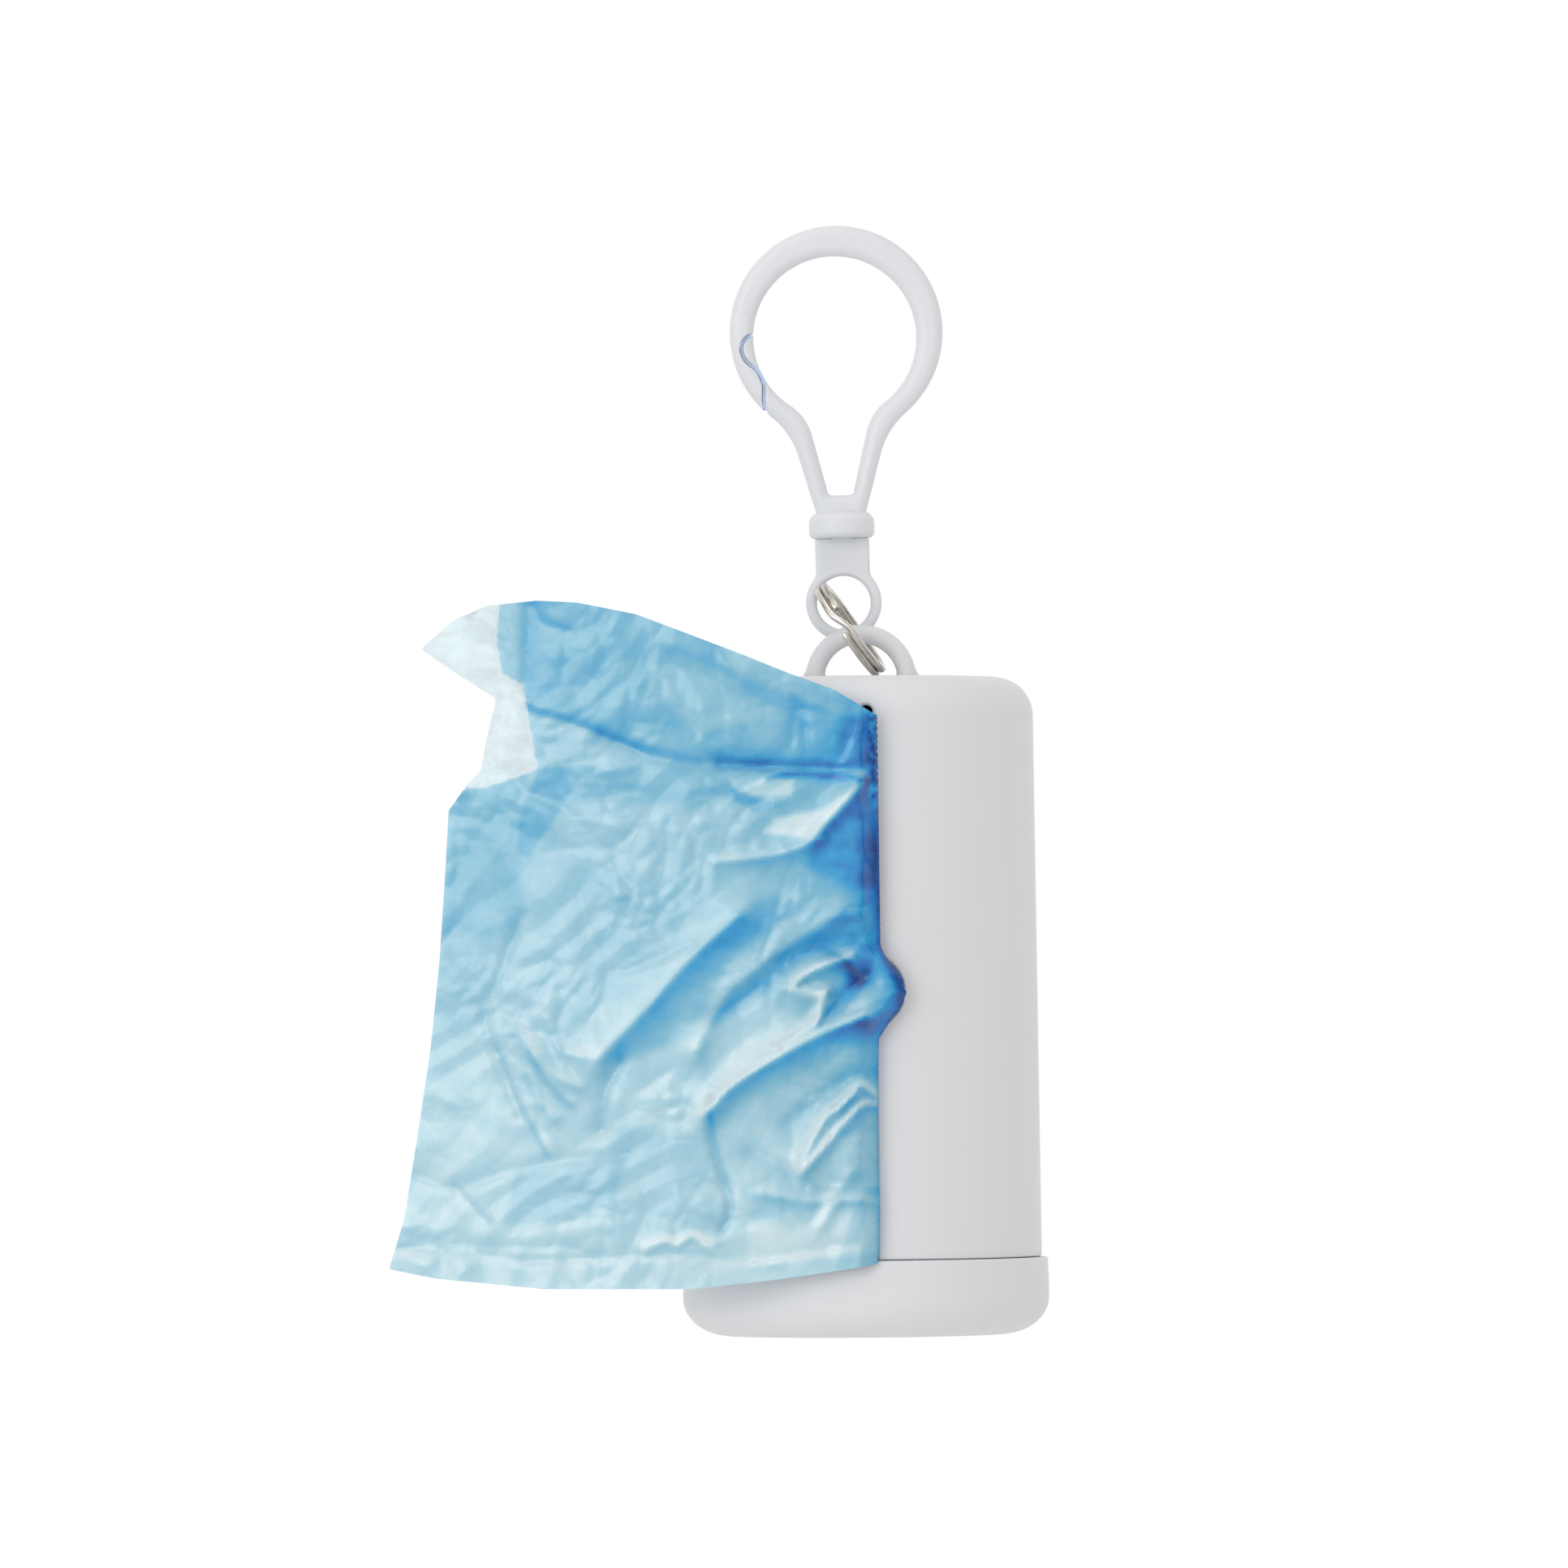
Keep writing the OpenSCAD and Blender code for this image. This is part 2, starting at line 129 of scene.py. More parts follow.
camera.rotation_mode = "QUATERNION"
gaze = (aim - camera.location).to_track_quat("-Z", "Y")
camera.rotation_quaternion = gaze @ Quaternion((0, 0, 1), CAMERA_ROLL)
print("camera at", [round(c, 4) for c in camera.location])

# %% [markdown]
# The studio is a white sweep under soft light. The lamps are wide and weak, so that a colour
# renders about as it is written. The white behind the object is the world itself, shown at a
# strength of 1 only to the camera and to reflections. All other rays meet a dimmer world.

# %% World and lamps
scene = bpy.context.scene
scene.view_settings.view_transform = "Standard"
AMBIENT = 0.75
world = bpy.data.worlds.new("studio")
scene.world = world
world.use_nodes = True


def seen_directly(tree):
    """A socket that is 1 on rays from the camera, off metal or through glass, and 0 on the rest."""
    path = tree.nodes.new("ShaderNodeLightPath")
    shiny = tree.nodes.new("ShaderNodeMath")
    shiny.operation = "MAXIMUM"
    seen = tree.nodes.new("ShaderNodeMath")
    seen.operation = "MAXIMUM"
    tree.links.new(path.outputs["Is Glossy Ray"], shiny.inputs[0])
    tree.links.new(path.outputs["Is Transmission Ray"], shiny.inputs[1])
    tree.links.new(path.outputs["Is Camera Ray"], seen.inputs[0])
    tree.links.new(shiny.outputs[0], seen.inputs[1])
    return seen.outputs[0]


sky = world.node_tree
strength = sky.nodes.new("ShaderNodeMapRange")
strength.inputs["To Min"].default_value = AMBIENT
strength.inputs["To Max"].default_value = 1
sky.links.new(seen_directly(sky), strength.inputs["Value"])
sky.nodes["Background"].inputs["Color"].default_value = (1, 1, 1, 1)
sky.links.new(strength.outputs["Result"], sky.nodes["Background"].inputs["Strength"])


def lamp(name, place, size, watts):
    """A wide soft lamp that faces the middle of the object."""
    data = bpy.data.lights.new(name, "AREA")
    data.size = size
    data.energy = watts
    made = bpy.data.objects.new(name, data)
    scene.collection.objects.link(made)
    made.location = aim + Vector(place)
    made.rotation_mode = "QUATERNION"
    made.rotation_quaternion = (-Vector(place)).to_track_quat("-Z", "Y")
    return made


lamp("front_lamp", (-0.9, -1.3, 0.35), 0.9, 5.0)
lamp("top_lamp", (-0.1, -0.3, 1.3), 1.0, 1.4)

# %% [markdown]
# The floor is a plain pale disc well below the object, which hangs. The little light that it
# adds to rays from the camera brings it to the white of the backdrop, and it still takes shadows.

# %% Floor
FLOOR_BELOW = 0.12
FLOOR_RADIUS = 1.8


def pale_floor():
    """A round floor under the object, a little brighter to the camera than its own colour."""
    bpy.ops.mesh.primitive_circle_add(vertices=96, radius=FLOOR_RADIUS, fill_type="NGON")
    floor = bpy.context.object
    floor.name = "floor"
    floor.location = (AXIS[0], AXIS[1], cad_bounds[0].z - FLOOR_BELOW)
    material = bpy.data.materials.new("floor_paper")
    material.use_nodes = True
    tree = material.node_tree
    shader = tree.nodes["Principled BSDF"]
    shader.inputs["Base Color"].default_value = (0.9, 0.9, 0.9, 1)
    shader.inputs["Roughness"].default_value = 0.8
    shader.inputs["Emission Color"].default_value = (1, 1, 1, 1)
    lift = tree.nodes.new("ShaderNodeMath")
    lift.operation = "MULTIPLY"
    lift.inputs[1].default_value = 0.1
    tree.links.new(seen_directly(tree), lift.inputs[0])
    tree.links.new(lift.outputs[0], shader.inputs["Emission Strength"])
    floor.data.materials.append(material)
    return floor


pale_floor()

# %% [markdown]
# Moulded plastic is never one flat colour. A satin mould leaves a fine even texture, and the
# melt leaves faint clouds where it flowed and cooled. Both belong to the casing, the cap and
# the clip, so they are one node group that each material uses with its own values. It puts out
# a colour, a roughness and a height, and the shader itself stays in the material.

# %% A node group for moulded plastic


def socket(tree, name, kind, way, value=None):
    """Adds a named input or output to a node group."""
    made = tree.interface.new_socket(name=name, in_out=way, socket_type="NodeSocket" + kind)
    if value is not None:
        made.default_value = value
    return made


def node(tree, kind, **settings):
    """Adds a node and sets its properties by name."""
    made = tree.nodes.new(kind if kind.startswith("NodeGroup") else "ShaderNode" + kind)
    for name, value in settings.items():
        setattr(made, name, value)
    return made


def noise_node(tree, coordinates, scale, detail=2.0, roughness=0.5):
    """A noise texture at so many grains a metre."""
    made = node(tree, "TexNoise")
    made.inputs["Scale"].default_value = scale
    made.inputs["Detail"].default_value = detail
    made.inputs["Roughness"].default_value = roughness
    tree.links.new(coordinates, made.inputs["Vector"])
    return made


def math_node(tree, operation, first, second):
    """A Math node whose inputs are sockets or numbers."""
    made = node(tree, "Math", operation=operation)
    for slot_in, value in zip(made.inputs, (first, second)):
        if isinstance(value, (int, float)):
            slot_in.default_value = value
        else:
            tree.links.new(value, slot_in)
    return made.outputs[0]


def mix_colour(tree, factor, first, second):
    """A colour mix whose inputs are sockets or values."""
    made = node(tree, "Mix", data_type="RGBA")
    for name, value in (("Factor", factor), ("A", first), ("B", second)):
        target = [s for s in made.inputs if s.name == name and s.enabled][0]
        if isinstance(value, (int, float, tuple)):
            target.default_value = value
        else:
            tree.links.new(value, target)
    return [s for s in made.outputs if s.enabled][0]


def moulded_group():
    """Colour clouds, satin texture and roughness of moulded plastic."""
    tree = bpy.data.node_groups.new("moulded_satin", "ShaderNodeTree")
    socket(tree, "Plastic", "Color", "INPUT", (0.8, 0.8, 0.8, 1))
    socket(tree, "Cloud", "Color", "INPUT", (0.76, 0.76, 0.77, 1))
    socket(tree, "Grain Scale", "Float", "INPUT", 4000.0)
    socket(tree, "Satin", "Float", "INPUT", 0.45)
    socket(tree, "Color", "Color", "OUTPUT")
    socket(tree, "Roughness", "Float", "OUTPUT")
    socket(tree, "Height", "Float", "OUTPUT")
    given = node(tree, "NodeGroupInput")
    out = node(tree, "NodeGroupOutput")
    place = node(tree, "TexCoord").outputs["Object"]
    cloud = noise_node(tree, place, 55, detail=3)
    grain = node(tree, "TexNoise")
    grain.inputs["Detail"].default_value = 3
    tree.links.new(place, grain.inputs["Vector"])
    tree.links.new(given.outputs["Grain Scale"], grain.inputs["Scale"])
    smear = noise_node(tree, place, 320, detail=4)
    tree.links.new(mix_colour(tree, cloud.outputs["Fac"], given.outputs["Plastic"], given.outputs["Cloud"]),
                   out.inputs["Color"])
    drift = math_node(tree, "MULTIPLY", math_node(tree, "SUBTRACT", smear.outputs["Fac"], 0.5), 0.22)
    tree.links.new(math_node(tree, "ADD", given.outputs["Satin"], drift), out.inputs["Roughness"])
    tree.links.new(grain.outputs["Fac"], out.inputs["Height"])
    return tree


MOULDED = moulded_group()


def bump(tree, height, depth, strength=1.0):
    """A Bump node that takes a height from 0 to 1 as so many metres of relief."""
    made = node(tree, "Bump")
    made.inputs["Strength"].default_value = strength
    made.inputs["Distance"].default_value = depth
    tree.links.new(height, made.inputs["Height"])
    return made.outputs["Normal"]


def plastic(name, colour, cloud, satin, grain_depth):
    """White moulded plastic with its own colour, gloss and depth of grain."""
    material = bpy.data.materials.new(name)
    material.use_nodes = True
    tree = material.node_tree
    shader = tree.nodes["Principled BSDF"]
    look = node(tree, "Group", node_tree=MOULDED)
    look.inputs["Plastic"].default_value = colour
    look.inputs["Cloud"].default_value = cloud
    look.inputs["Satin"].default_value = satin
    tree.links.new(look.outputs["Color"], shader.inputs["Base Color"])
    tree.links.new(look.outputs["Roughness"], shader.inputs["Roughness"])
    tree.links.new(bump(tree, look.outputs["Height"], grain_depth), shader.inputs["Normal"])
    shader.inputs["IOR"].default_value = 1.49
    return material


CASING_PLASTIC = plastic("casing_plastic", (0.79, 0.79, 0.805, 1), (0.77, 0.77, 0.79, 1), 0.46, 4e-6)
CLIP_PLASTIC = plastic("clip_plastic", (0.80, 0.805, 0.825, 1), (0.78, 0.785, 0.81, 1), 0.4, 3e-6)

# %% [markdown]
# Each mesh below is made from plain lists of points and faces. `build` turns them into a smooth
# shaded object, sets the material, hides the plain solid that the piece stands for, and lets it
# ride on its body. Where the true normal of a surface is known, it is given to the mesh, so a
# rounded edge shades as smoothly as the real one however its triangles fall.

# %% Helpers that make meshes


def build(name, points, faces, material, body=None, stands_for=None, normals=None,
          sharp=math.radians(35), weld=True):
    """A smooth shaded object from points in metres in the frame."""
    mesh = bpy.data.meshes.new(name)
    mesh.from_pydata([tuple(p) for p in points], [], [tuple(f) for f in faces])
    if weld:
        shape = bmesh.new()
        shape.from_mesh(mesh)
        bmesh.ops.remove_doubles(shape, verts=shape.verts, dist=1e-7)
        bmesh.ops.recalc_face_normals(shape, faces=shape.faces)
        shape.to_mesh(mesh)
        shape.free()
    mesh.shade_smooth()
    if normals is None:
        mesh.set_sharp_from_angle(angle=sharp)
    else:
        mesh.normals_split_custom_set_from_vertices([tuple(n) for n in normals])
    made = bpy.data.objects.new(name, mesh)
    scene.collection.objects.link(made)
    mesh.materials.append(material)
    if body:
        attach(made, body)
    if stands_for:
        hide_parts(stands_for)
    print(name, len(mesh.vertices), "points", len(mesh.polygons), "faces")
    return made


def arc(centre, radius, start, end, steps=8):
    """Points along an arc in a plane, its angles in degrees. A pair of radii gives an ellipse."""
    across, up = radius if isinstance(radius, tuple) else (radius, radius)
    turn = np.radians(np.linspace(start, end, steps + 1))
    return [(centre[0] + across * math.cos(t), centre[1] + up * math.sin(t)) for t in turn]


def revolve(profile, segments=160):
    """Points and faces of a half section, given as radius and height, turned about the axis."""
    turns = 2 * math.pi * np.arange(segments) / segments
    points = [(r * math.cos(t), r * math.sin(t), z) for r, z in profile for t in turns]
    faces = []
    for i in range(len(profile) - 1):
        for j in range(segments):
            k = (j + 1) % segments
            faces.append((i * segments + j, i * segments + k, (i + 1) * segments + k, (i + 1) * segments + j))
    return points, faces


def resample(path, step):
    """A polyline with its points spread evenly, about a step apart."""
    path = np.asarray(path, float)
    run = np.concatenate([[0], np.cumsum(np.linalg.norm(np.diff(path, axis=0), axis=1))])
    even = np.linspace(0, run[-1], max(2, int(round(run[-1] / step)) + 1))
    return np.stack([np.interp(even, run, path[:, k]) for k in range(path.shape[1])], 1)


def inside(points, loop):
    """Which points lie inside a closed loop."""
    x, y = points[:, 0][:, None], points[:, 1][:, None]
    a, b = loop, np.roll(loop, -1, 0)
    crosses = (a[:, 1] > y) != (b[:, 1] > y)
    rise = np.where(a[:, 1] == b[:, 1], 1e-12, b[:, 1] - a[:, 1])
    left_of = x < (b[:, 0] - a[:, 0]) * (y - a[:, 1]) / rise + a[:, 0]
    return (crosses & left_of).sum(1) % 2 == 1


ON_LINE = 1e-4


def nearest(points, path):
    """Distance from each point to a polyline, and the unit vector from the polyline to it.

    A point on the line itself takes the line's own normal, on the left of its direction.
    """
    x, z = np.ascontiguousarray(points[:, 0]), np.ascontiguousarray(points[:, 1])
    best = np.full(len(x), 1e9)
    away_x, away_z = np.zeros(len(x)), np.zeros(len(x))
    for a, b in zip(path[:-1], path[1:]):
        along = b - a
        t = ((x - a[0]) * along[0] + (z - a[1]) * along[1]) / max(along @ along, 1e-12)
        t = np.minimum(np.maximum(t, 0), 1)
        gap_x = x - a[0] - t * along[0]
        gap_z = z - a[1] - t * along[1]
        d = np.sqrt(gap_x * gap_x + gap_z * gap_z)
        closer = np.flatnonzero(d < best)
        best[closer] = d[closer]
        on_line = closer[d[closer] < ON_LINE]
        away_x[closer], away_z[closer] = gap_x[closer], gap_z[closer]
        away_x[on_line], away_z[on_line] = -along[1], along[0]
    away = np.stack([away_x, away_z], 1)
    return best, away / np.maximum(np.hypot(away_x, away_z), 1e-9)[:, None]


def rings_beside(path, distances, least):
    """Points at set distances on both sides of a polyline, thinned where they crowd."""
    found = []
    along = np.gradient(path, axis=0)
    side = np.stack([-along[:, 1], along[:, 0]], 1) / np.maximum(np.linalg.norm(along, axis=1), 1e-9)[:, None]
    for distance in distances:
        for way in (-1, 1):
            ring = path + side * way * distance
            true_gap = nearest(ring, path)[0]
            ring = ring[true_gap > 0.985 * distance]
            kept = []
            for p in ring:
                if all(np.hypot(*(p - q)) > least for q in kept[-4:]):
                    kept.append(p)
            found += kept
    return found


# %% [markdown]
# The end cap is a plain turned shape: a soft round lower corner, a skirt that bulges a little
# and a thin rim that stands proud of the casing. It could be a cylinder with a bevel, but the
# real corner is wider than it is high, so its half section is drawn with elliptic arcs and
# turned. Inside are the bore that grips the casing's neck and the floor, with the mould's mark.

# %% End cap
CAP_RADIUS = (cap_high.x - cap_low.x) / 2 / MM
CAP_HEIGHT = (cap_high.z - cap_low.z) / MM
CAP_BORE = 19.68
CAP_FLOOR = 1.8
CAP_CORNER = (5.4, 4.3)
SKIRT_BULGE = 0.12


def cap_profile():
    """Half section of the cap, from the middle of its underside round to the middle of its floor."""
    gate_mark = [(0, 0.12), (0.35, 0.12), (0.45, 0.28), (1.0, 0.28), (1.15, 0.06), (1.3, 0)]
    corner = arc((CAP_RADIUS - CAP_CORNER[0], CAP_CORNER[1]), CAP_CORNER, -90, 0, 18)
    low, high = CAP_CORNER[1], CAP_HEIGHT - 0.25
    skirt = [(CAP_RADIUS - SKIRT_BULGE * ((z - low) / (high - low)) ** 2, z) for z in np.linspace(low, high, 8)[1:]]
    rim = arc((skirt[-1][0] - 0.25, high), 0.25, 0, 90, 4)
    mouth = [(CAP_BORE + 0.3, CAP_HEIGHT), (CAP_BORE, CAP_HEIGHT - 0.3)]
    floor = arc((CAP_BORE - 3.2, CAP_FLOOR + 3.2), 3.2, 0, -90, 8)
    return gate_mark + [(6, 0), (11, 0)] + corner + skirt + rim + mouth + floor + [(8, CAP_FLOOR), (0, CAP_FLOOR)]


cap_points, cap_faces = revolve(cap_profile())
build("end_cap_shell", on_axis(cap_points), cap_faces, CASING_PLASTIC, "cap", "end_cap")

# %% [markdown]
# The casing is a cup with a slot down its front and a finger notch half way. Cutting the slot
# with a boolean leaves hard edges and ragged shading. So the wall is made as a sheet: unrolled
# flat, the slot's outline is laid in it and the sheet is filled with triangles round it. Then
# the sheet is rolled up. Near the slot it sinks by the height of a rounded edge, which depends
# only on the distance to the outline, and the outer and inner sheets are joined through the slot.

# %% Casing: sizes and the slot's outline
CASING_RADIUS = 20.2
CASING_TOP_RADIUS = 19.7
CASING_TOP = 75.3
TOP_EDGE = 4.4
WALL = 1.6
NECK_RADIUS = 19.6
NECK_BOTTOM = 5.12
SHOULDER = 8.92
SLOT_HALF = 0.775
SLOT_TOP = 71.9
NOTCH_RADIUS = 4
NOTCH_HEIGHT = 39.4
NOTCH_FILLET = 2.6
SLOT_EDGE = 0.42


def slot_outline():
    """The slot and notch seen from the front, up the right side, over the top and down the left."""
    x = SLOT_HALF + NOTCH_FILLET
    z = math.sqrt((NOTCH_RADIUS + NOTCH_FILLET) ** 2 - x * x)
    meet = math.degrees(math.atan2(z, x))
    right = [(SLOT_HALF, NECK_BOTTOM), (SLOT_HALF, NOTCH_HEIGHT - z)]
    right += arc((x, NOTCH_HEIGHT - z), NOTCH_FILLET, 180, 180 - meet, 10)
    right += arc((0, NOTCH_HEIGHT), NOTCH_RADIUS, -meet, meet, 24)
    right += arc((x, NOTCH_HEIGHT + z), NOTCH_FILLET, 180 + meet, 180, 10)
    right += arc((0, SLOT_TOP - SLOT_HALF), SLOT_HALF, 0, 90, 8)
    return resample(right + [(-px, pz) for px, pz in reversed(right)][1:], 0.3)


SLOT = slot_outline()

# %% Casing: the wall as a sheet


def along_profile(profile, s):
    """Radius, height and outward normal at a run s along a half section."""
    profile = np.asarray(profile, float)
    run = np.concatenate([[0], np.cumsum(np.linalg.norm(np.diff(profile, axis=0), axis=1))])
    place = np.stack([np.interp(s, run, profile[:, k]) for k in (0, 1)], 1)
    step = 0.05
    ahead = np.stack([np.interp(np.minimum(s + step, run[-1]), run, profile[:, k]) for k in (0, 1)], 1)
    behind = np.stack([np.interp(np.maximum(s - step, 0), run, profile[:, k]) for k in (0, 1)], 1)
    slope = ahead - behind
    normal = np.stack([slope[:, 1], -slope[:, 0]], 1)
    return place, normal / np.linalg.norm(normal, axis=1)[:, None], run


def wall_sheet(profile, edge, sense, patch_half=7.5, top_run=None):
    """One face of the slotted wall. sense is 1 for the outside and -1 for the inside."""
    profile = np.asarray(profile, float)
    _, _, run = along_profile(profile, np.array([0.0]))
    rows = np.unique(np.concatenate([run[run <= top_run], np.arange(0, top_run, 1.1), [top_run]]))
    rows = rows[np.concatenate([[True], np.diff(rows) > 0.02])]
    height_to_run = lambda z: np.interp(z, profile[:, 1], run)
    outline = SLOT.copy()
    outline_s = height_to_run(outline[:, 1])
    radius = along_profile(profile, outline_s)[0][:, 0]
    outline = np.stack([np.arcsin(outline[:, 0] / radius), outline_s], 1)
    scale = radius.mean()
    flat_outline = np.stack([outline[:, 0] * scale, outline[:, 1]], 1)
    grid = [(a, s) for s in rows for a in np.linspace(-patch_half, patch_half, 16)]
    grid += rings_beside(flat_outline, [0.06 * edge, 0.25 * edge, 0.55 * edge, edge, 1.6 * edge], 0.12)
    grid = np.array(grid)
    d = nearest(grid, flat_outline)[0]
    on_rim = (np.abs(np.abs(grid[:, 0]) - patch_half) < 1e-6) | (grid[:, 1] < 1e-6) | (grid[:, 1] > top_run - 1e-6)
    keep = ~inside(grid, flat_outline) & ((d > 0.05 * edge) | on_rim)
    keep &= (np.abs(grid[:, 0]) <= patch_half) & (grid[:, 1] >= 0) & (grid[:, 1] <= top_run)
    keep &= ~((np.abs(grid[:, 0]) < flat_outline[0, 0] + 1e-4) & (grid[:, 1] < 1e-6))
    grid = grid[keep]
    points = np.concatenate([flat_outline, grid])
    edges = [(i, i + 1) for i in range(len(flat_outline) - 1)]
    found = delaunay_2d_cdt([Vector(p) for p in points], edges, [], 0, 1e-6, True)
    flat = np.array([tuple(p) for p in found[0]])
    middle = np.array([flat[list(f)].mean(0) for f in found[2]])
    faces = [f for f, hole in zip(found[2], inside(middle, flat_outline)) if not hole]
    turn = flat[:, 0] / scale
    first = len(flat)
    sides = np.linspace(patch_half / scale, 2 * math.pi - patch_half / scale, 105)
    side_grid = np.array([(t, s) for s in rows for t in sides])
    width = len(sides)
    for i in range(len(rows) - 1):
        for j in range(width - 1):
            a = first + i * width + j
            faces.append((a, a + 1, a + width + 1, a + width))
    turn = np.concatenate([turn, side_grid[:, 0]])
    s = np.concatenate([flat[:, 1], side_grid[:, 1]])
    place, slope, _ = along_profile(profile, s)
    sheet = np.stack([turn * scale, s], 1)
    d, away = nearest(sheet, flat_outline)
    into_slot = (d < ON_LINE) & inside(sheet + away * 0.02, flat_outline)
    away[into_slot] *= -1
    near = np.clip((edge - d) / edge, 0, 1)
    near[first:] = 0
    drop = edge - np.sqrt(np.maximum(edge ** 2 - (near * edge) ** 2, 0))
    out = np.stack([np.sin(turn), -np.cos(turn)], 1)
    along = np.stack([np.cos(turn), np.sin(turn)], 1)
    radius = place[:, 0] - sense * drop * slope[:, 0]
    height = place[:, 1] - sense * drop * slope[:, 1]
    position = np.column_stack([out * radius[:, None], height])
    normal = np.column_stack([out * slope[:, :1], slope[:, 1]]) * sense
    up = np.column_stack([-out * slope[:, 1:], slope[:, 0]])
    to_slot = -(np.column_stack([along * away[:, :1], np.zeros(len(s))]) + up * away[:, 1:])
    level = np.sqrt(1 - near ** 2)[:, None]
    normal = normal * level + to_slot * near[:, None]
    ordered = [tuple(f) if sense > 0 else tuple(reversed(f)) for f in faces]
    return position, ordered, normal, len(SLOT)


# %% Casing: put the sheets together


def casing_mesh():
    """Outer and inner sheets, the slot's sides, the neck's lower face and the closed top."""
    edge_middle = (CASING_TOP_RADIUS - TOP_EDGE, CASING_TOP - TOP_EDGE)
    outer = [(NECK_RADIUS, NECK_BOTTOM), (NECK_RADIUS, SHOULDER - 0.01), (CASING_RADIUS - 0.15, SHOULDER)]
    outer += arc((CASING_RADIUS - 0.15, SHOULDER + 0.15), 0.15, -80, 0, 3)
    outer += [(CASING_RADIUS - 0.004 * k, SHOULDER + 0.15 + 0.5 * k) for k in (1, 2)]
    outer += arc(edge_middle, TOP_EDGE, 0, 90, 20) + [(10, CASING_TOP + 1e-6), (0, CASING_TOP + 2e-6)]
    bore = CASING_RADIUS - WALL
    inner = [(bore, NECK_BOTTOM), (bore, SHOULDER)] + arc(edge_middle, TOP_EDGE - WALL, 0, 90, 10)
    inner += [(9, CASING_TOP - WALL + 1e-6), (0, CASING_TOP - WALL + 2e-6)]
    points, faces, normals = [], [], []
    rims = []
    for profile, edge, sense in ((outer, SLOT_EDGE, 1), (inner, 0.25, -1)):
        _, _, run = along_profile(profile, np.array([0.0]))
        top_run = float(run[-2])
        position, sheet_faces, normal, rim = wall_sheet(profile, edge, sense, top_run=top_run)
        first = len(points)
        rims.append((first, position[:rim]))
        points += [tuple(p) for p in position]
        normals += [tuple(n) for n in normal]
        faces += [tuple(first + i for i in f) for f in sheet_faces]
        centre = len(points)
        points.append((0, 0, profile[-1][1]))
        normals.append((0, 0, sense))
        away = [abs(math.hypot(p[0], p[1]) - profile[-2][0]) for p in position]
        ring = [first + i for i, gap in enumerate(away) if gap < 1e-3]
        ring.sort(key=lambda i: math.atan2(points[i][1], points[i][0]))
        ring = [i for n, i in enumerate(ring) if n == 0 or math.dist(points[i], points[ring[n - 1]]) > 1e-4]
        for a, b in zip(ring, ring[1:] + ring[:1]):
            faces.append((a, b, centre) if sense > 0 else (b, a, centre))
    rim = len(SLOT)
    for i in range(rim - 1):
        a, b = rims[0][0] + i, rims[1][0] + i
        faces.append((a, b, b + 1, a + 1))
    return points, faces, normals


# %% [markdown]
# The hanging loop is a half ring of round bar moulded onto the casing's top. A torus would do,
# but the real bar swells where it runs into the top. So a circle is swept along the half ring
# and its radius grows towards the feet, and the loop joins the casing's own mesh.

# %% Hanging loop
LOOP_RADIUS = 5.3
LOOP_BAR = 1.08
LOOP_SINK = 0.2
FOOT_FLARE = 0.34
FOOT_REACH = 0.8


def loop_mesh(around=72, sides=20):
    """Points, faces and normals of the loop, its feet a little inside the casing's top."""
    points, normals, faces = [], [], []
    foot = math.degrees(math.asin(0.5 / LOOP_RADIUS))
    for i, turn in enumerate(np.radians(np.linspace(-foot, 180 + foot, around + 1))):
        out = np.array([math.cos(turn), 0, math.sin(turn)])
        above = LOOP_RADIUS * math.sin(turn) - LOOP_SINK
        radius = LOOP_BAR + FOOT_FLARE * math.exp(-(max(above, 0) / FOOT_REACH) ** 2 * 2)
        for t in np.linspace(0, 2 * math.pi, sides, endpoint=False):
            side = out * math.cos(t) + np.array([0, 1, 0]) * math.sin(t)
            points.append(tuple(np.array([0, 0, CASING_TOP - LOOP_SINK]) + out * LOOP_RADIUS + side * radius))
            normals.append(tuple(side))
    for i in range(around):
        for j in range(sides):
            a, b = i * sides + j, i * sides + (j + 1) % sides
            faces.append((a, b, b + sides, a + sides))
    return points, faces, normals


loop_points, loop_faces, loop_normals = loop_mesh()
casing_points, casing_faces, casing_normals = casing_mesh()
casing_faces += [tuple(len(casing_points) + i for i in f) for f in loop_faces]
casing_points += loop_points
casing_normals += loop_normals
build("casing_shell", on_axis(casing_points), casing_faces, CASING_PLASTIC, "case", "casing",
      normals=casing_normals, weld=False)

# %% [markdown]
# The clip, its gate and the eye's neck are all flat plates with rounded edges. A bevel breaks
# down where the outline turns sharply, as at the tips of the S-shaped split. So the plate is
# cut like dough: the outline is filled with triangles, and each point rises by a height that
# depends only on its distance to the edge. The edge's radius may differ from edge to edge, so
# the split stays crisp while the bow is soft in the hand.

# %% A plate with rounded edges


def edge_height(distance, thickness, radius):
    """Height above the middle of a plate at a distance from its rounded edge, and how it slopes."""
    d = np.clip(distance, 0, radius)
    root = np.sqrt(np.maximum(radius ** 2 - (radius - d) ** 2, 0))
    slope = np.where(distance < radius, (radius - d) / np.maximum(root, 0.02 * radius), 0)
    return thickness / 2 - radius + root, slope


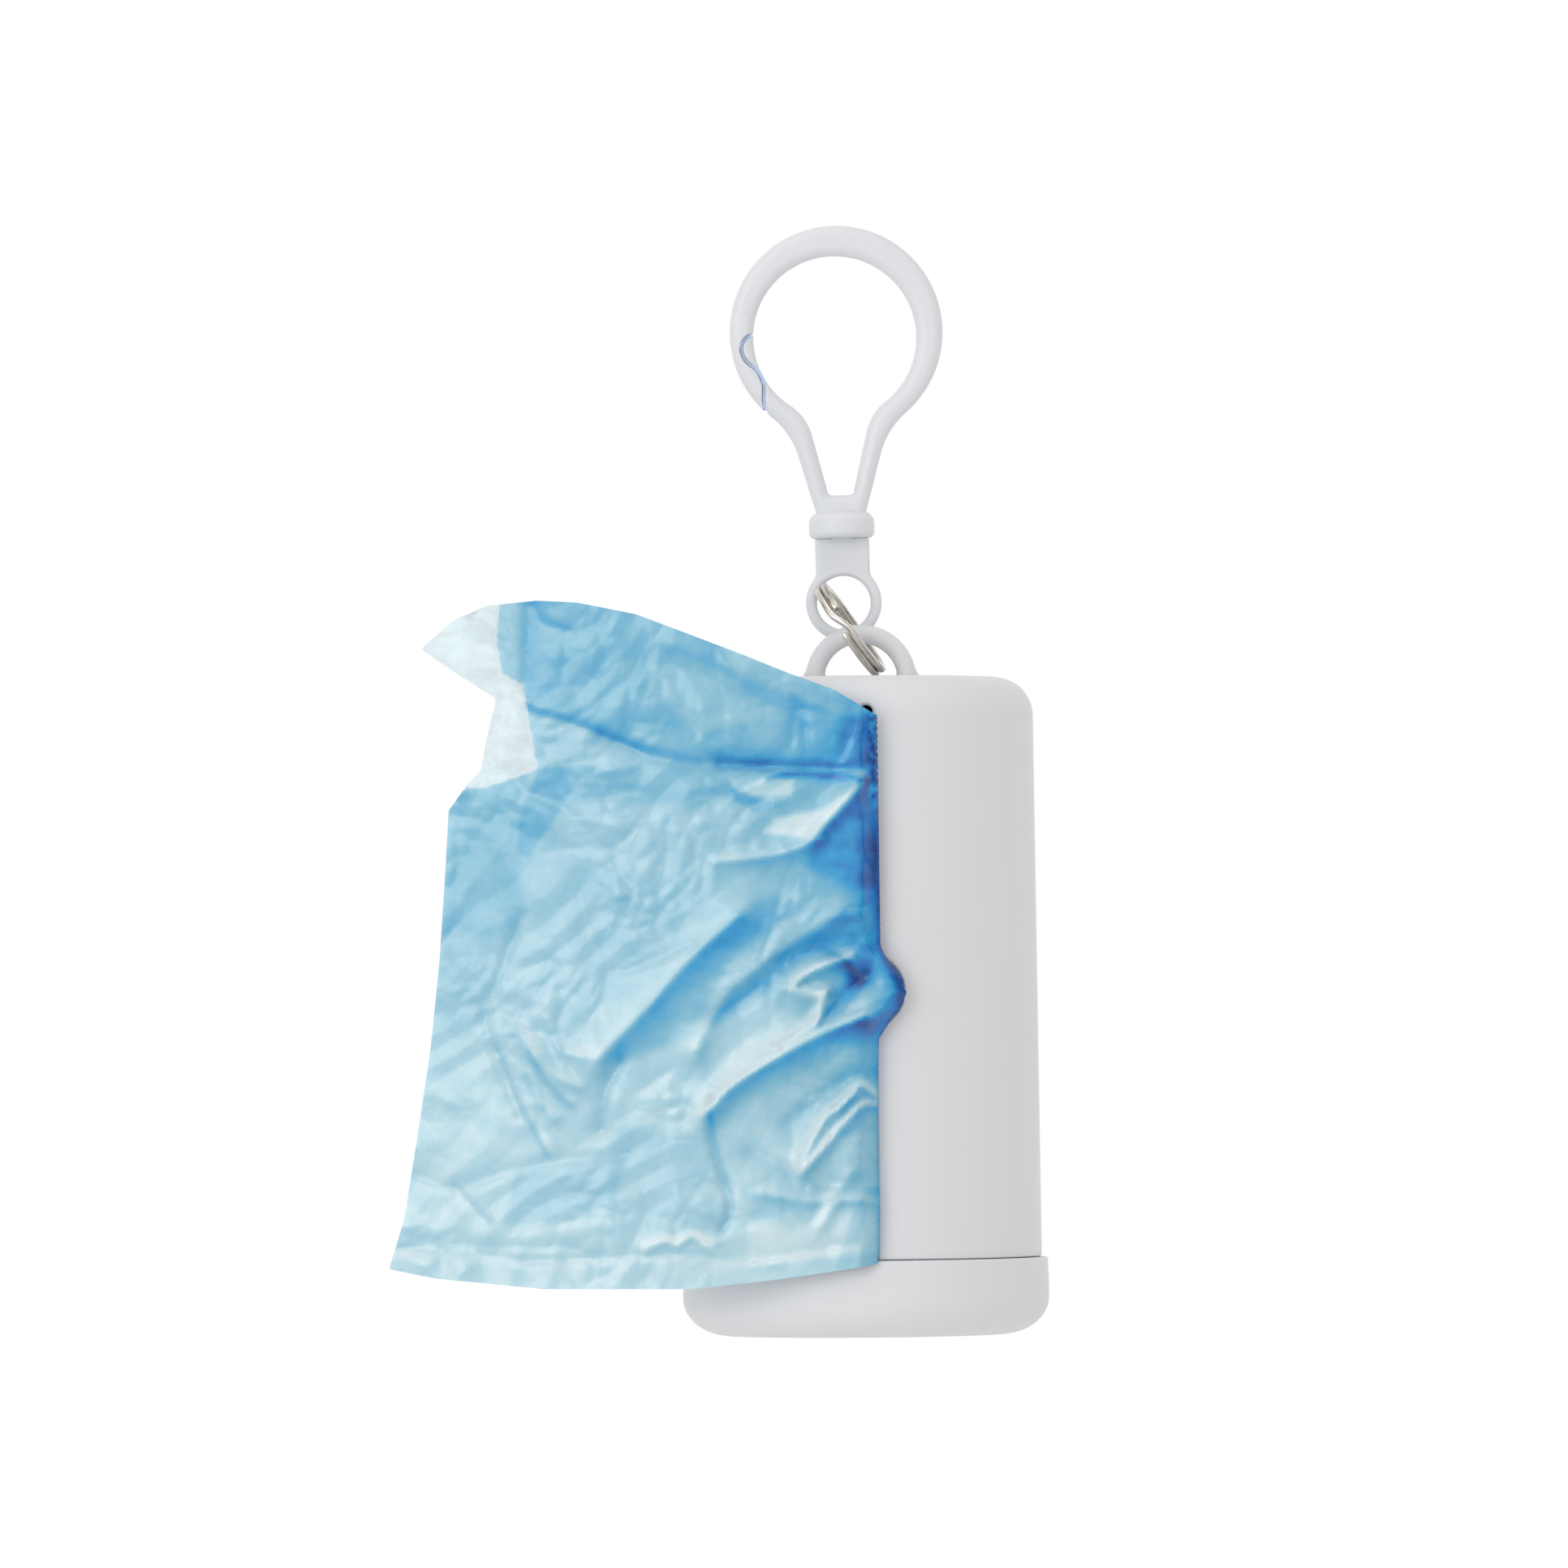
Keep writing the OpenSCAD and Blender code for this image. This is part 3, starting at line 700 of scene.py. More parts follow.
def plate(cuts, keep_test, edges, thickness, marks=(), seams=()):
    """Fills a flat outline with triangles. Returns points, faces, heights and front normals."""
    corners, links = [], []
    for path in list(cuts) + list(seams):
        links += [(len(corners) + i, len(corners) + i + 1) for i in range(len(path) - 1)]
        corners += [tuple(p) for p in path]
    inner = []
    for path, radius in edges:
        shares = [0.015, 0.06, 0.14, 0.26, 0.42, 0.6, 0.8, 1.0]
        inner += rings_beside(path, [radius * s for s in shares], 0.14)
    for x, z, r in marks:
        for ring in (r - 0.14, r, r + 0.14):
            inner += [(x + px, z + pz) for px, pz in arc((0, 0), ring, 0, 360, 36)[:-1]]
    inner = np.array(inner)
    clear = np.full(len(inner), 1e9)
    for path in list(cuts) + list(seams):
        clear = np.minimum(clear, nearest(inner, path)[0])
    inner = inner[keep_test(inner) & (clear > 0.012)]
    points = [Vector(p) for p in corners] + [Vector(p) for p in inner]
    found = delaunay_2d_cdt(points, links, [], 0, 1e-5, True)
    flat = np.array([tuple(p) for p in found[0]])
    middle = np.array([flat[list(f)].mean(0) for f in found[2]])
    faces = [tuple(f) for f, kept in zip(found[2], keep_test(middle)) if kept]
    height = np.full(len(flat), thickness / 2)
    tilt = np.zeros((len(flat), 2))
    for path, radius in edges:
        d, away = nearest(flat, path)
        wrong_way = (d < ON_LINE) & ~keep_test(flat + away * 0.02)
        away[wrong_way] *= -1
        rise, slope = edge_height(d, thickness, radius)
        lower = rise < height - 1e-9
        height[lower] = rise[lower]
        tilt[lower] = away[lower] * slope[lower][:, None]
    for x, z, r in marks:
        gap = flat - (x, z)
        reach = np.linalg.norm(gap, axis=1)
        dent = np.exp(-((reach - r) / 0.1) ** 2)
        height -= MARK_DEPTH * dent
        tilt += (gap / np.maximum(reach, 1e-6)[:, None]) * (MARK_DEPTH * dent * 2 * (reach - r) / 0.01)[:, None]
    normal = np.column_stack([-tilt[:, 0], -np.ones(len(flat)), -tilt[:, 1]])
    return flat, faces, height, normal / np.linalg.norm(normal, axis=1)[:, None]


def plate_solid(flat, faces, height, normal, middle_y=0.0):
    """Front, back and side faces of a plate, seen along y, from its flat triangles."""
    used = sorted({i for f in faces for i in f})
    index = {old: new for new, old in enumerate(used)}
    size = len(used)
    flat, height, normal = flat[used], height[used], normal[used]
    front = np.column_stack([flat[:, 0], middle_y - height, flat[:, 1]])
    rear = np.column_stack([flat[:, 0], middle_y + height, flat[:, 1]])
    normals = np.concatenate([normal, normal * (1, -1, 1)])
    solid, count = [], {}
    for f in faces:
        g = [index[i] for i in f]
        a, b, c = flat[g[0]], flat[g[1]], flat[g[2]]
        if (b[0] - a[0]) * (c[1] - a[1]) - (b[1] - a[1]) * (c[0] - a[0]) < 0:
            g.reverse()
        solid.append(tuple(g))
        solid.append(tuple(size + i for i in reversed(g)))
        for i in range(3):
            count[(g[i], g[(i + 1) % 3])] = 1
    for a, b in list(count):
        if (b, a) not in count:
            solid.append((b, a, size + a, size + b))
    return np.concatenate([front, rear]), solid, normals


# %% [markdown]
# The bow and both arms of the clip are one outline. It is a bulb: a round bow that runs down
# into a leaning wedge, with a fillet between them, and a smaller bulb inside it is the opening.
# The S-shaped split then cuts through the left side. The gate is the part of the left arm from
# its root up to the split. Both are cut from the same plate, so no seam shows between them.

# %% Clip: outline
CLIP_THICKNESS = 4.0
CLIP_EDGE = 1.22
SPLIT_EDGE = 0.3
MARK_DEPTH = 0.035
BOW = (0, 31.15)
BOW_RADIUS = 12.24
OPENING = (-0.17, 30.55)
OPENING_RADIUS = 9.4
SPLIT_GAP = 0.38
ARM_FOOT = (2.95, 10.7)
THROAT_FOOT = (1.4, 12.35)
SPLIT_PATH = [(237, -0.7), (233, -0.22), (223.5, 0.24), (215.5, 0.7), (204.5, 0.79), (196, 0.52), (189, 0.46),
              (183.5, 0.68), (180.7, 1.05), (178.5, 1.6)]
EJECTOR_MARKS = [(-4.96, 22.14, 1.02), (-10.7, 33.9, 0.78), (0.0, 41.9, 0.82), (10.75, 31.9, 0.8)]
GATE_ROOT = np.array([-2.738, 13.6])
GATE_LEAN = math.radians(14.8)


def bulb_side(centre, radius, foot, lean, fillet, base):
    """Right side of a bulb from its base to the middle of its top."""
    lean = math.radians(lean)
    out = np.array([math.cos(lean), -math.sin(lean)])
    up = np.array([math.sin(lean), math.cos(lean)])
    centre, foot = np.array(centre, float), np.array(foot, float)
    from_centre = foot + fillet * out - centre
    rise = from_centre @ up
    t = -rise - math.sqrt(rise ** 2 - from_centre @ from_centre + (radius + fillet) ** 2)
    middle = centre + from_centre + t * up
    on_bow = centre + (middle - centre) * radius / (radius + fillet)
    start = math.degrees(math.atan2(*(middle - fillet * out - middle)[::-1]))
    end = math.degrees(math.atan2(*(on_bow - middle)[::-1]))
    start, end = start % 360, end % 360
    bow_start = math.degrees(math.atan2(*(on_bow - centre)[::-1]))
    path = [tuple(foot + up * (base - foot[1]) / up[1])]
    path += arc(middle, fillet, start, end, 24)
    path += arc(centre, radius, bow_start, 90, 60)[1:]
    return path


def both_sides(right, left):
    """A closed loop from two half paths that start at the base and meet at the top."""
    return np.array(right + [(-x, z) for x, z in reversed(left)][1:])


def smooth_path(points, steps=10):
    """A smooth curve through points, between the second and the last but one."""
    p = np.asarray(points, float)
    found = []
    for i in range(1, len(p) - 2):
        for t in np.linspace(0, 1, steps, endpoint=False):
            a, b, c, d = p[i - 1:i + 3]
            found.append(0.5 * (2 * b + (c - a) * t + (2 * a - 5 * b + 4 * c - d) * t ** 2
                                + (3 * b - a - 3 * c + d) * t ** 3))
    found.append(p[-2])
    return np.array(found)


def clip_outlines():
    """The bow's outside, the opening and the band of the split, each as a closed loop."""
    outer = both_sides(bulb_side(BOW, BOW_RADIUS, ARM_FOOT, 15.74, 9.5, 9.0),
                       bulb_side(BOW, BOW_RADIUS, ARM_FOOT, 15.74, 9.5, 9.0))
    throat = bulb_side(OPENING, OPENING_RADIUS, THROAT_FOOT, 13.9, 6, THROAT_FOOT[1] + 0.6)
    mirrored = bulb_side((-OPENING[0], OPENING[1]), OPENING_RADIUS, THROAT_FOOT, 13.9, 6, THROAT_FOOT[1] + 0.6)
    corner = arc((THROAT_FOOT[0] - 0.45, THROAT_FOOT[1] + 0.6), (0.6, 0.6), -90, -20, 6)
    opening = both_sides(corner + throat, corner + mirrored)
    reach = [BOW_RADIUS + (OPENING_RADIUS - BOW_RADIUS) * share for _, share in SPLIT_PATH]
    split = smooth_path([(BOW[0] + r * math.cos(math.radians(a)), BOW[1] + r * math.sin(math.radians(a)))
                         for r, (a, _) in zip(reach, SPLIT_PATH)])
    along = np.gradient(split, axis=0)
    left = np.stack([-along[:, 1], along[:, 0]], 1) / np.linalg.norm(along, axis=1)[:, None]
    other = split + left * SPLIT_GAP
    return outer, opening, np.concatenate([split, other[::-1]]), split, other


# %% Clip: hook, gate and collar
OUTER, OPENING_LOOP, SPLIT_BAND, SPLIT_GATE, SPLIT_BOW = clip_outlines()
LIP_GRIP = 0.12
LIP_ROOM = 0.05
LIP_HALF = 1.55
# The pale blue of the strip in the split is painted shade: the shade that falls inside the narrow split.
SPLIT_SHADE_PLASTIC = plastic("clip_split_painted_shade", (0.55, 0.68, 0.93, 1), (0.52, 0.65, 0.92, 1), 0.5, 3e-6)
COLLAR = {"radius": 3.77, "low": 7.4, "high": 10.45, "soft": 1.35, "low_soft": 0.7}


def closed(loop, step):
    """A closed loop sampled evenly, its first point repeated at the end."""
    return resample(np.concatenate([loop, loop[:1]]), step)


def in_clip(points):
    """Which flat points lie in the clip's plastic."""
    return inside(points, OUTER) & ~inside(points, OPENING_LOOP) & ~inside(points, SPLIT_BAND)


def above_root(points):
    """Which points of the left arm lie beyond the gate's root."""
    gap = points - GATE_ROOT
    return (gap @ np.array([-math.sin(GATE_LEAN), math.cos(GATE_LEAN)]) > 0) & (points[:, 0] < -0.5)


def gate_faces(flat, faces):
    """The faces of the gate: those beyond its root that hang together below the split."""
    middle = np.array([flat[list(f)].mean(0) for f in faces])
    beyond = above_root(middle)
    by_edge = {}
    for n, f in enumerate(faces):
        if beyond[n]:
            for i in range(3):
                by_edge.setdefault(frozenset((f[i], f[(i + 1) % 3])), []).append(n)
    start = int(np.argmin(np.linalg.norm(middle - (-5.2, 20.5), axis=1)))
    found, queue = {start}, [start]
    while queue:
        f = faces[queue.pop()]
        for i in range(3):
            for n in by_edge.get(frozenset((f[i], f[(i + 1) % 3])), []):
                if n not in found:
                    found.add(n)
                    queue.append(n)
    return found


def collar_mesh():
    """The round collar under the arms, its edges fully rounded, with the swivel's opening below."""
    r, low, high, soft, low_soft = (COLLAR[k] for k in ("radius", "low", "high", "soft", "low_soft"))
    profile = [(1.66, low + 0.25), (1.9, low)] + arc((r - low_soft, low + low_soft), low_soft, -90, 0, 12)
    profile += arc((r - soft, high - soft), soft, 0, 90, 12) + [(0, high)]
    return revolve(profile, 96)


root_along = np.array([math.cos(GATE_LEAN), math.sin(GATE_LEAN)])
root_line = np.array([GATE_ROOT + root_along * t for t in np.linspace(-2.1, 2.0, 20)])
clip_flat, clip_faces, clip_height, clip_normal = plate(
    [closed(OUTER, 0.2), closed(OPENING_LOOP, 0.2), closed(SPLIT_BAND, 0.16)], in_clip,
    [(closed(OUTER, 0.2), CLIP_EDGE), (closed(OPENING_LOOP, 0.2), CLIP_EDGE),
     (resample(SPLIT_GATE, 0.16), SPLIT_EDGE), (resample(SPLIT_BOW, 0.16), SPLIT_EDGE)],
    CLIP_THICKNESS, EJECTOR_MARKS, [root_line])
in_gate = gate_faces(clip_flat, clip_faces)
bow_faces = [f for n, f in enumerate(clip_faces) if n not in in_gate]
arm_faces = [f for n, f in enumerate(clip_faces) if n in in_gate]


def clip_normals(normals):
    """Normals turned with the clip's lean."""
    turned = on_eye(normals) - EYE
    return turned / np.linalg.norm(turned, axis=1)[:, None]


def split_shade_strip():
    """A thin strip on the gate's side of the split, closed on all sides, coloured pale blue as painted shade inside the
    split.
    """
    along = np.gradient(SPLIT_GATE, axis=0)
    left = np.stack([-along[:, 1], along[:, 0]], 1) / np.linalg.norm(along, axis=1)[:, None]
    inner, outer = SPLIT_GATE - left * LIP_GRIP, SPLIT_GATE + left * (SPLIT_GAP - LIP_ROOM)
    clear = in_clip(inner) & inside(outer, OUTER) & ~inside(outer, OPENING_LOOP)
    inner, outer = inner[clear], outer[clear]
    count = len(inner)
    points = []
    for side, depth in ((inner, -1), (outer, -1), (outer, 1), (inner, 1)):
        points += [(x, depth * LIP_HALF, z) for x, z in side]
    faces = []
    for ring in range(4):
        for i in range(count - 1):
            a, b = ring * count + i, (ring + 1) % 4 * count + i
            faces.append((a, a + 1, b + 1, b))
    ends = [tuple(ring * count for ring in range(4)), tuple(ring * count + count - 1 for ring in range(4))]
    return points, faces + ends


hook_points, hook_faces, hook_normals = plate_solid(clip_flat, bow_faces, clip_height, clip_normal)
build("hook_bow", on_eye(hook_points), hook_faces, CLIP_PLASTIC, "hook", "hook",
      normals=clip_normals(hook_normals), weld=False)
collar_points, collar_faces = collar_mesh()
build("hook_collar", on_eye(collar_points), collar_faces, CLIP_PLASTIC, "hook", None)
gate_points, gate_solid, gate_normals = plate_solid(clip_flat, arm_faces, clip_height, clip_normal)
gate = build("hook_gate_arm", on_eye(gate_points), gate_solid, CLIP_PLASTIC, None, "hook_gate",
             normals=clip_normals(gate_normals), weld=False)
# A lip half way through the plate bridges the split, so no daylight shows through it; its pale blue colour is painted
# shade inside the split
shade_strip_points, shade_strip_faces = split_shade_strip()
lip = build("hook_gate_split_shade", on_eye(shade_strip_points), shade_strip_faces, SPLIT_SHADE_PLASTIC, None, None,
            sharp=math.radians(50))
for sprung in (gate, lip):
    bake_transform(sprung)

# %% [markdown]
# The swivel eye is a round rim with a thinner flat neck above it. The neck's headed pin turns
# inside the collar, where nobody sees it until the clip swivels. The rim is a rounded bar
# turned about the eye's own axis, and the neck is a plate like the clip's.

# %% Swivel eye
EYE_HOLE = 3.1
EYE_RIM = 4.35
EYE_THICKNESS = 2.2
EYE_SOFT = 0.6
NECK_HALF = 3.1
NECK_THICKNESS = 2.0
NECK_TOP = 7.36
NECK_FILLET = 1.6


def rim_mesh():
    """The eye's rim: a rounded section turned about y."""
    half, soft = EYE_THICKNESS / 2, EYE_SOFT
    section = arc((EYE_RIM - soft, half - soft), soft, 0, 90, 8) + arc((EYE_HOLE + 0.5, half - 0.5), 0.5, 90, 180, 8)
    section += arc((EYE_HOLE + 0.5, 0.5 - half), 0.5, 180, 270, 8) + arc((EYE_RIM - soft, soft - half), soft, 270, 360, 8)
    points, faces = revolve(section + section[:1], 128)
    return [(x, z, y) for x, y, z in points], faces


def neck_outline():
    """The flat neck, from inside the rim up to the collar, with fillets where it meets the rim."""
    x = NECK_HALF + NECK_FILLET
    z = math.sqrt((EYE_RIM + NECK_FILLET) ** 2 - x * x)
    meet = math.degrees(math.atan2(z, x))
    right = [(2.9, 2.55)] + arc((x, z), NECK_FILLET, 180 + meet, 180, 8) + [(NECK_HALF, NECK_TOP)]
    return np.array(right + [(-px, pz) for px, pz in reversed(right)])


NECK = neck_outline()
neck_edge = closed(NECK, 0.2)
half = len(NECK) // 2
neck_hole = np.array(arc((0, 0), EYE_HOLE + 0.35, 0, 360, 72))
neck_sides = [resample(NECK[:half], 0.2), resample(NECK[half:], 0.2)]
neck_flat, neck_faces, neck_height, neck_normal = plate(
    [neck_edge, neck_hole], lambda p: inside(p, NECK) & ~inside(p, neck_hole),
    [(side, 0.5) for side in neck_sides], NECK_THICKNESS)
neck_points, neck_solid, neck_normals = plate_solid(neck_flat, neck_faces, neck_height, neck_normal)
build("swivel_neck", on_eye(neck_points), neck_solid, CLIP_PLASTIC, "eye", "swivel_eye",
      normals=clip_normals(neck_normals), weld=False)
rim_points, rim_faces = rim_mesh()
build("swivel_rim", on_eye(rim_points), rim_faces, CLIP_PLASTIC, "eye", None)
pin_profile = [(0, 7.0), (1.6, 7.0), (1.6, 8.8)] + arc((1.9, 9.1), 0.4, -90, 0, 3) + arc((1.9, 10.1), 0.4, 0, 90, 4)
pin_points, pin_faces = revolve(pin_profile + [(0, 10.5)], 48)
build("swivel_pin", on_eye(pin_points), pin_faces, CLIP_PLASTIC, "eye", None)

# %% [markdown]
# The split ring is nickel-plated spring wire, pressed flat, in two close turns. Round wire
# would look wrong: the real section is a rounded rectangle that stands higher than it is wide.
# It is swept along a helix whose two turns swap sides in one short step, which is where both
# wire ends show. Polished metal has no colour of its own, so a few dark cards off camera give it
# real dark reflections, and along the drawing lines dark bands are painted into its colour as
# painted reflections.

# %% Nickel
def nickel():
    """Bright nickel with drawing lines along the wire, painted dark reflection bands along them and a faint warm
    tarnish.
    """
    material = bpy.data.materials.new("nickel")
    material.use_nodes = True
    tree = material.node_tree
    shader = tree.nodes["Principled BSDF"]
    wire = node(tree, "Attribute", attribute_name="wire")
    lines = noise_node(tree, wire.outputs["Vector"], 1.0, detail=3, roughness=0.6)
    spots = noise_node(tree, node(tree, "TexCoord").outputs["Object"], 900, detail=3)
    tint = mix_colour(tree, spots.outputs["Fac"], (0.84, 0.81, 0.75, 1), (0.62, 0.58, 0.51, 1))
    # Dark bands along the drawing lines are painted reflections in the metal's colour.
    dark_band_mask = node(tree, "MapRange")
    dark_band_mask.inputs["From Min"].default_value = 0.36
    dark_band_mask.inputs["From Max"].default_value = 0.52
    tree.links.new(lines.outputs["Fac"], dark_band_mask.inputs["Value"])
    painted_reflection_colour = mix_colour(tree, dark_band_mask.outputs["Result"], (0.16, 0.13, 0.1, 1), tint)
    tree.links.new(painted_reflection_colour, shader.inputs["Base Color"])
    gloss = math_node(tree, "MULTIPLY", lines.outputs["Fac"], 0.22)
    tree.links.new(math_node(tree, "ADD", gloss, 0.12), shader.inputs["Roughness"])
    tree.links.new(bump(tree, lines.outputs["Fac"], 1.2e-5), shader.inputs["Normal"])
    shader.inputs["Metallic"].default_value = 1
    return material


def dark_card(name, place, width, height):
    """A black card beside the set that only reflections see."""
    bpy.ops.mesh.primitive_plane_add(size=1)
    card = bpy.context.object
    card.name = name
    card.scale = (width, height, 1)
    card.location = aim + Vector(place)
    card.rotation_mode = "QUATERNION"
    card.rotation_quaternion = (-Vector(place)).to_track_quat("Z", "Y")
    material = bpy.data.materials.new(name)
    material.use_nodes = True
    material.node_tree.nodes["Principled BSDF"].inputs["Base Color"].default_value = (0.02, 0.018, 0.016, 1)
    card.data.materials.append(material)
    card.visible_camera = False
    card.visible_diffuse = False
    card.visible_shadow = False


dark_card("dark_card_right", (1.1, -0.7, 0.0), 0.5, 1.3)
dark_card("dark_card_low", (0.1, -0.9, -0.9), 1.2, 0.5)
dark_card("dark_card_left", (-1.3, 0.1, 0.4), 0.45, 1.2)

# %% Split ring
ring_low, ring_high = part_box("split_ring")
RING_MIDDLE = np.array((ring_low + ring_high) / 2)
RING_RADIUS = 5.6
WIRE_HIGH = 1.1
WIRE_WIDE = 0.8
WIRE_SOFT = 0.3
TURN_PITCH = 0.86
RING_LEAN = math.radians(34.5)
RING_TURN = math.radians(5.7)
STEP_AT = math.radians(-105)
STEP_HALF = math.radians(15)


def wire_section():
    """Rounded rectangle of the wire: outwards from the ring's middle, and along its axis."""
    a, b, s = WIRE_HIGH / 2 - WIRE_SOFT, WIRE_WIDE / 2 - WIRE_SOFT, WIRE_SOFT
    found = []
    for x, y, start in ((a, b, 0), (-a, b, 90), (-a, -b, 180), (a, -b, 270)):
        found += arc((x, y), s, start, start + 90, 4)
    return found


def ring_mesh(steps=150):
    """Points, faces and along-the-wire places of the two turns."""
    section = wire_section()
    place, faces, wire = [], [], []
    total = 4 * math.pi - 2 * STEP_HALF
    ends = 6
    for i in range(steps + 1):
        turn = STEP_HALF + total * i / steps
        t = min(max((turn - 2 * math.pi + STEP_HALF) / (2 * STEP_HALF), 0), 1)
        shift = TURN_PITCH * (t * t * (3 - 2 * t) - 0.5)
        from_end = min(i, steps - i)
        shrink = 1.0 if from_end else 0.72
        for n, (out, along) in enumerate(section):
            r = RING_RADIUS + out * shrink
            place.append((r * math.cos(turn + STEP_AT), r * math.sin(turn + STEP_AT), shift + along * shrink))
            wire.append((turn * 0.9, n * 0.55, 0))
    sides = len(section)
    for i in range(steps):
        for n in range(sides):
            a, b = i * sides + n, i * sides + (n + 1) % sides
            faces.append((a, b, b + sides, a + sides))
    faces.append(tuple(reversed(range(sides))))
    faces.append(tuple(range(steps * sides, (steps + 1) * sides)))
    return np.array(place), faces, wire


ring_place, ring_faces, ring_wire = ring_mesh()
tilt = Matrix.Rotation(math.pi / 2 - RING_LEAN, 3, "Y") @ Matrix.Rotation(RING_TURN, 3, "X")
ring_points = RING_MIDDLE + ring_place @ np.array(tilt).T * MM
ring = build("split_ring_wire", ring_points, ring_faces, nickel(), "ring", "split_ring", weld=False)
wire_places = ring.data.attributes.new("wire", "FLOAT_VECTOR", "POINT")
wire_places.data.foreach_set("vector", np.array(ring_wire, np.float32).ravel())

# %% [markdown]
# The bags are the hardest finish here: blue plastic film, thinner than paper, wound tight on a
# tube. On the roll it is nearly opaque and deep blue, and in one or two layers it is a pale
# milky blue. So one node group holds the whole range of colours, from one layer to many, with
# the fine creases and stretch marks of handled film. Each mesh gives it a `tone` for every
# point, which says how much film lies over and behind that point, with painted light and
# painted shade of the folds added in, and a place on the sheet.

# %% A node group for thin film
# The whitish stop at 0.08 serves the lone layer and the painted highlights on the lit sides of folds.
PLY_AND_HIGHLIGHT_COLOURS = [(0.0, (0.56, 0.65, 0.68)), (0.08, (0.72, 0.87, 0.91)), (0.25, (0.46, 0.72, 0.82)),
          (0.5, (0.20, 0.52, 0.70)), (0.72, (0.02, 0.37, 0.71)), (0.88, (0.002, 0.17, 0.56)),
          (1.0, (0.004, 0.05, 0.24))]


def film_group():
    """Colour, roughness and height of creased plastic film at a given tone, with painted shade in its fine creases."""
    tree = bpy.data.node_groups.new("creased_film", "ShaderNodeTree")
    socket(tree, "Place", "Vector", "INPUT")
    socket(tree, "Tone", "Float", "INPUT", 0.3)
    socket(tree, "Crumple", "Float", "INPUT", 1.0)
    socket(tree, "Color", "Color", "OUTPUT")
    socket(tree, "Roughness", "Float", "OUTPUT")
    socket(tree, "Height", "Float", "OUTPUT")
    given = node(tree, "NodeGroupInput")
    out = node(tree, "NodeGroupOutput")
    place = given.outputs["Place"]
    warp = noise_node(tree, place, 160, detail=2)
    bent = node(tree, "VectorMath", operation="MULTIPLY_ADD")
    bent.inputs[1].default_value = (0.006, 0.006, 0.006)
    tree.links.new(warp.outputs["Color"], bent.inputs[0])
    tree.links.new(place, bent.inputs[2])
    heights = []
    for scale, share in ((210, 0.6), (520, 0.3)):
        cells = node(tree, "TexVoronoi", feature="DISTANCE_TO_EDGE")
        cells.inputs["Scale"].default_value = scale
        tree.links.new(bent.outputs[0], cells.inputs["Vector"])
        heights.append(math_node(tree, "MULTIPLY", cells.outputs["Distance"], share))
    stretched = node(tree, "VectorMath", operation="MULTIPLY")
    stretched.inputs[1].default_value = (0.16, 1.0, 1.0)
    tree.links.new(bent.outputs[0], stretched.inputs[0])
    drawn = noise_node(tree, stretched.outputs[0], 700, detail=4, roughness=0.6)
    haze = noise_node(tree, bent.outputs[0], 420, detail=5, roughness=0.65)
    facets = math_node(tree, "ADD", heights[0], heights[1])
    relief = math_node(tree, "ADD", facets, math_node(tree, "MULTIPLY", drawn.outputs["Fac"], 0.12))
    relief = math_node(tree, "ADD", relief, math_node(tree, "MULTIPLY", haze.outputs["Fac"], 0.3))
    tree.links.new(math_node(tree, "MULTIPLY", relief, given.outputs["Crumple"]), out.inputs["Height"])
    cloud = math_node(tree, "MULTIPLY", math_node(tree, "SUBTRACT", haze.outputs["Fac"], 0.5), 0.12)
    marks = math_node(tree, "MULTIPLY", math_node(tree, "SUBTRACT", drawn.outputs["Fac"], 0.5), 0.12)
    # Deeper colour along the cell edges, where the fine creases lie, is painted shade in the creases.
    fold = math_node(tree, "MULTIPLY", math_node(tree, "SUBTRACT", 0.2, facets), 0.16)
    shift = math_node(tree, "ADD", math_node(tree, "ADD", cloud, marks), fold)
    shift = math_node(tree, "MULTIPLY", shift, given.outputs["Crumple"])
    ramp = node(tree, "ValToRGB")
    ramp.color_ramp.interpolation = "LINEAR"
    stops = ramp.color_ramp.elements
    while len(stops) < len(PLY_AND_HIGHLIGHT_COLOURS):
        stops.new(0.5)
    for stop, (position, colour) in zip(stops, PLY_AND_HIGHLIGHT_COLOURS):
        stop.position = position
        stop.color = colour + (1,)
    tree.links.new(math_node(tree, "ADD", given.outputs["Tone"], shift), ramp.inputs["Fac"])
    dots = node(tree, "TexVoronoi", feature="F1")
    dots.inputs["Scale"].default_value = 75
    tree.links.new(place, dots.inputs["Vector"])
    speck = math_node(tree, "LESS_THAN", dots.outputs["Distance"], 0.011)
    tree.links.new(mix_colour(tree, speck, ramp.outputs["Color"], (0.01, 0.04, 0.12, 1)), out.inputs["Color"])
    gloss = math_node(tree, "MULTIPLY", haze.outputs["Fac"], 0.3)
    tree.links.new(math_node(tree, "ADD", gloss, 0.16), out.inputs["Roughness"])
    return tree


CREASED_FILM = film_group()


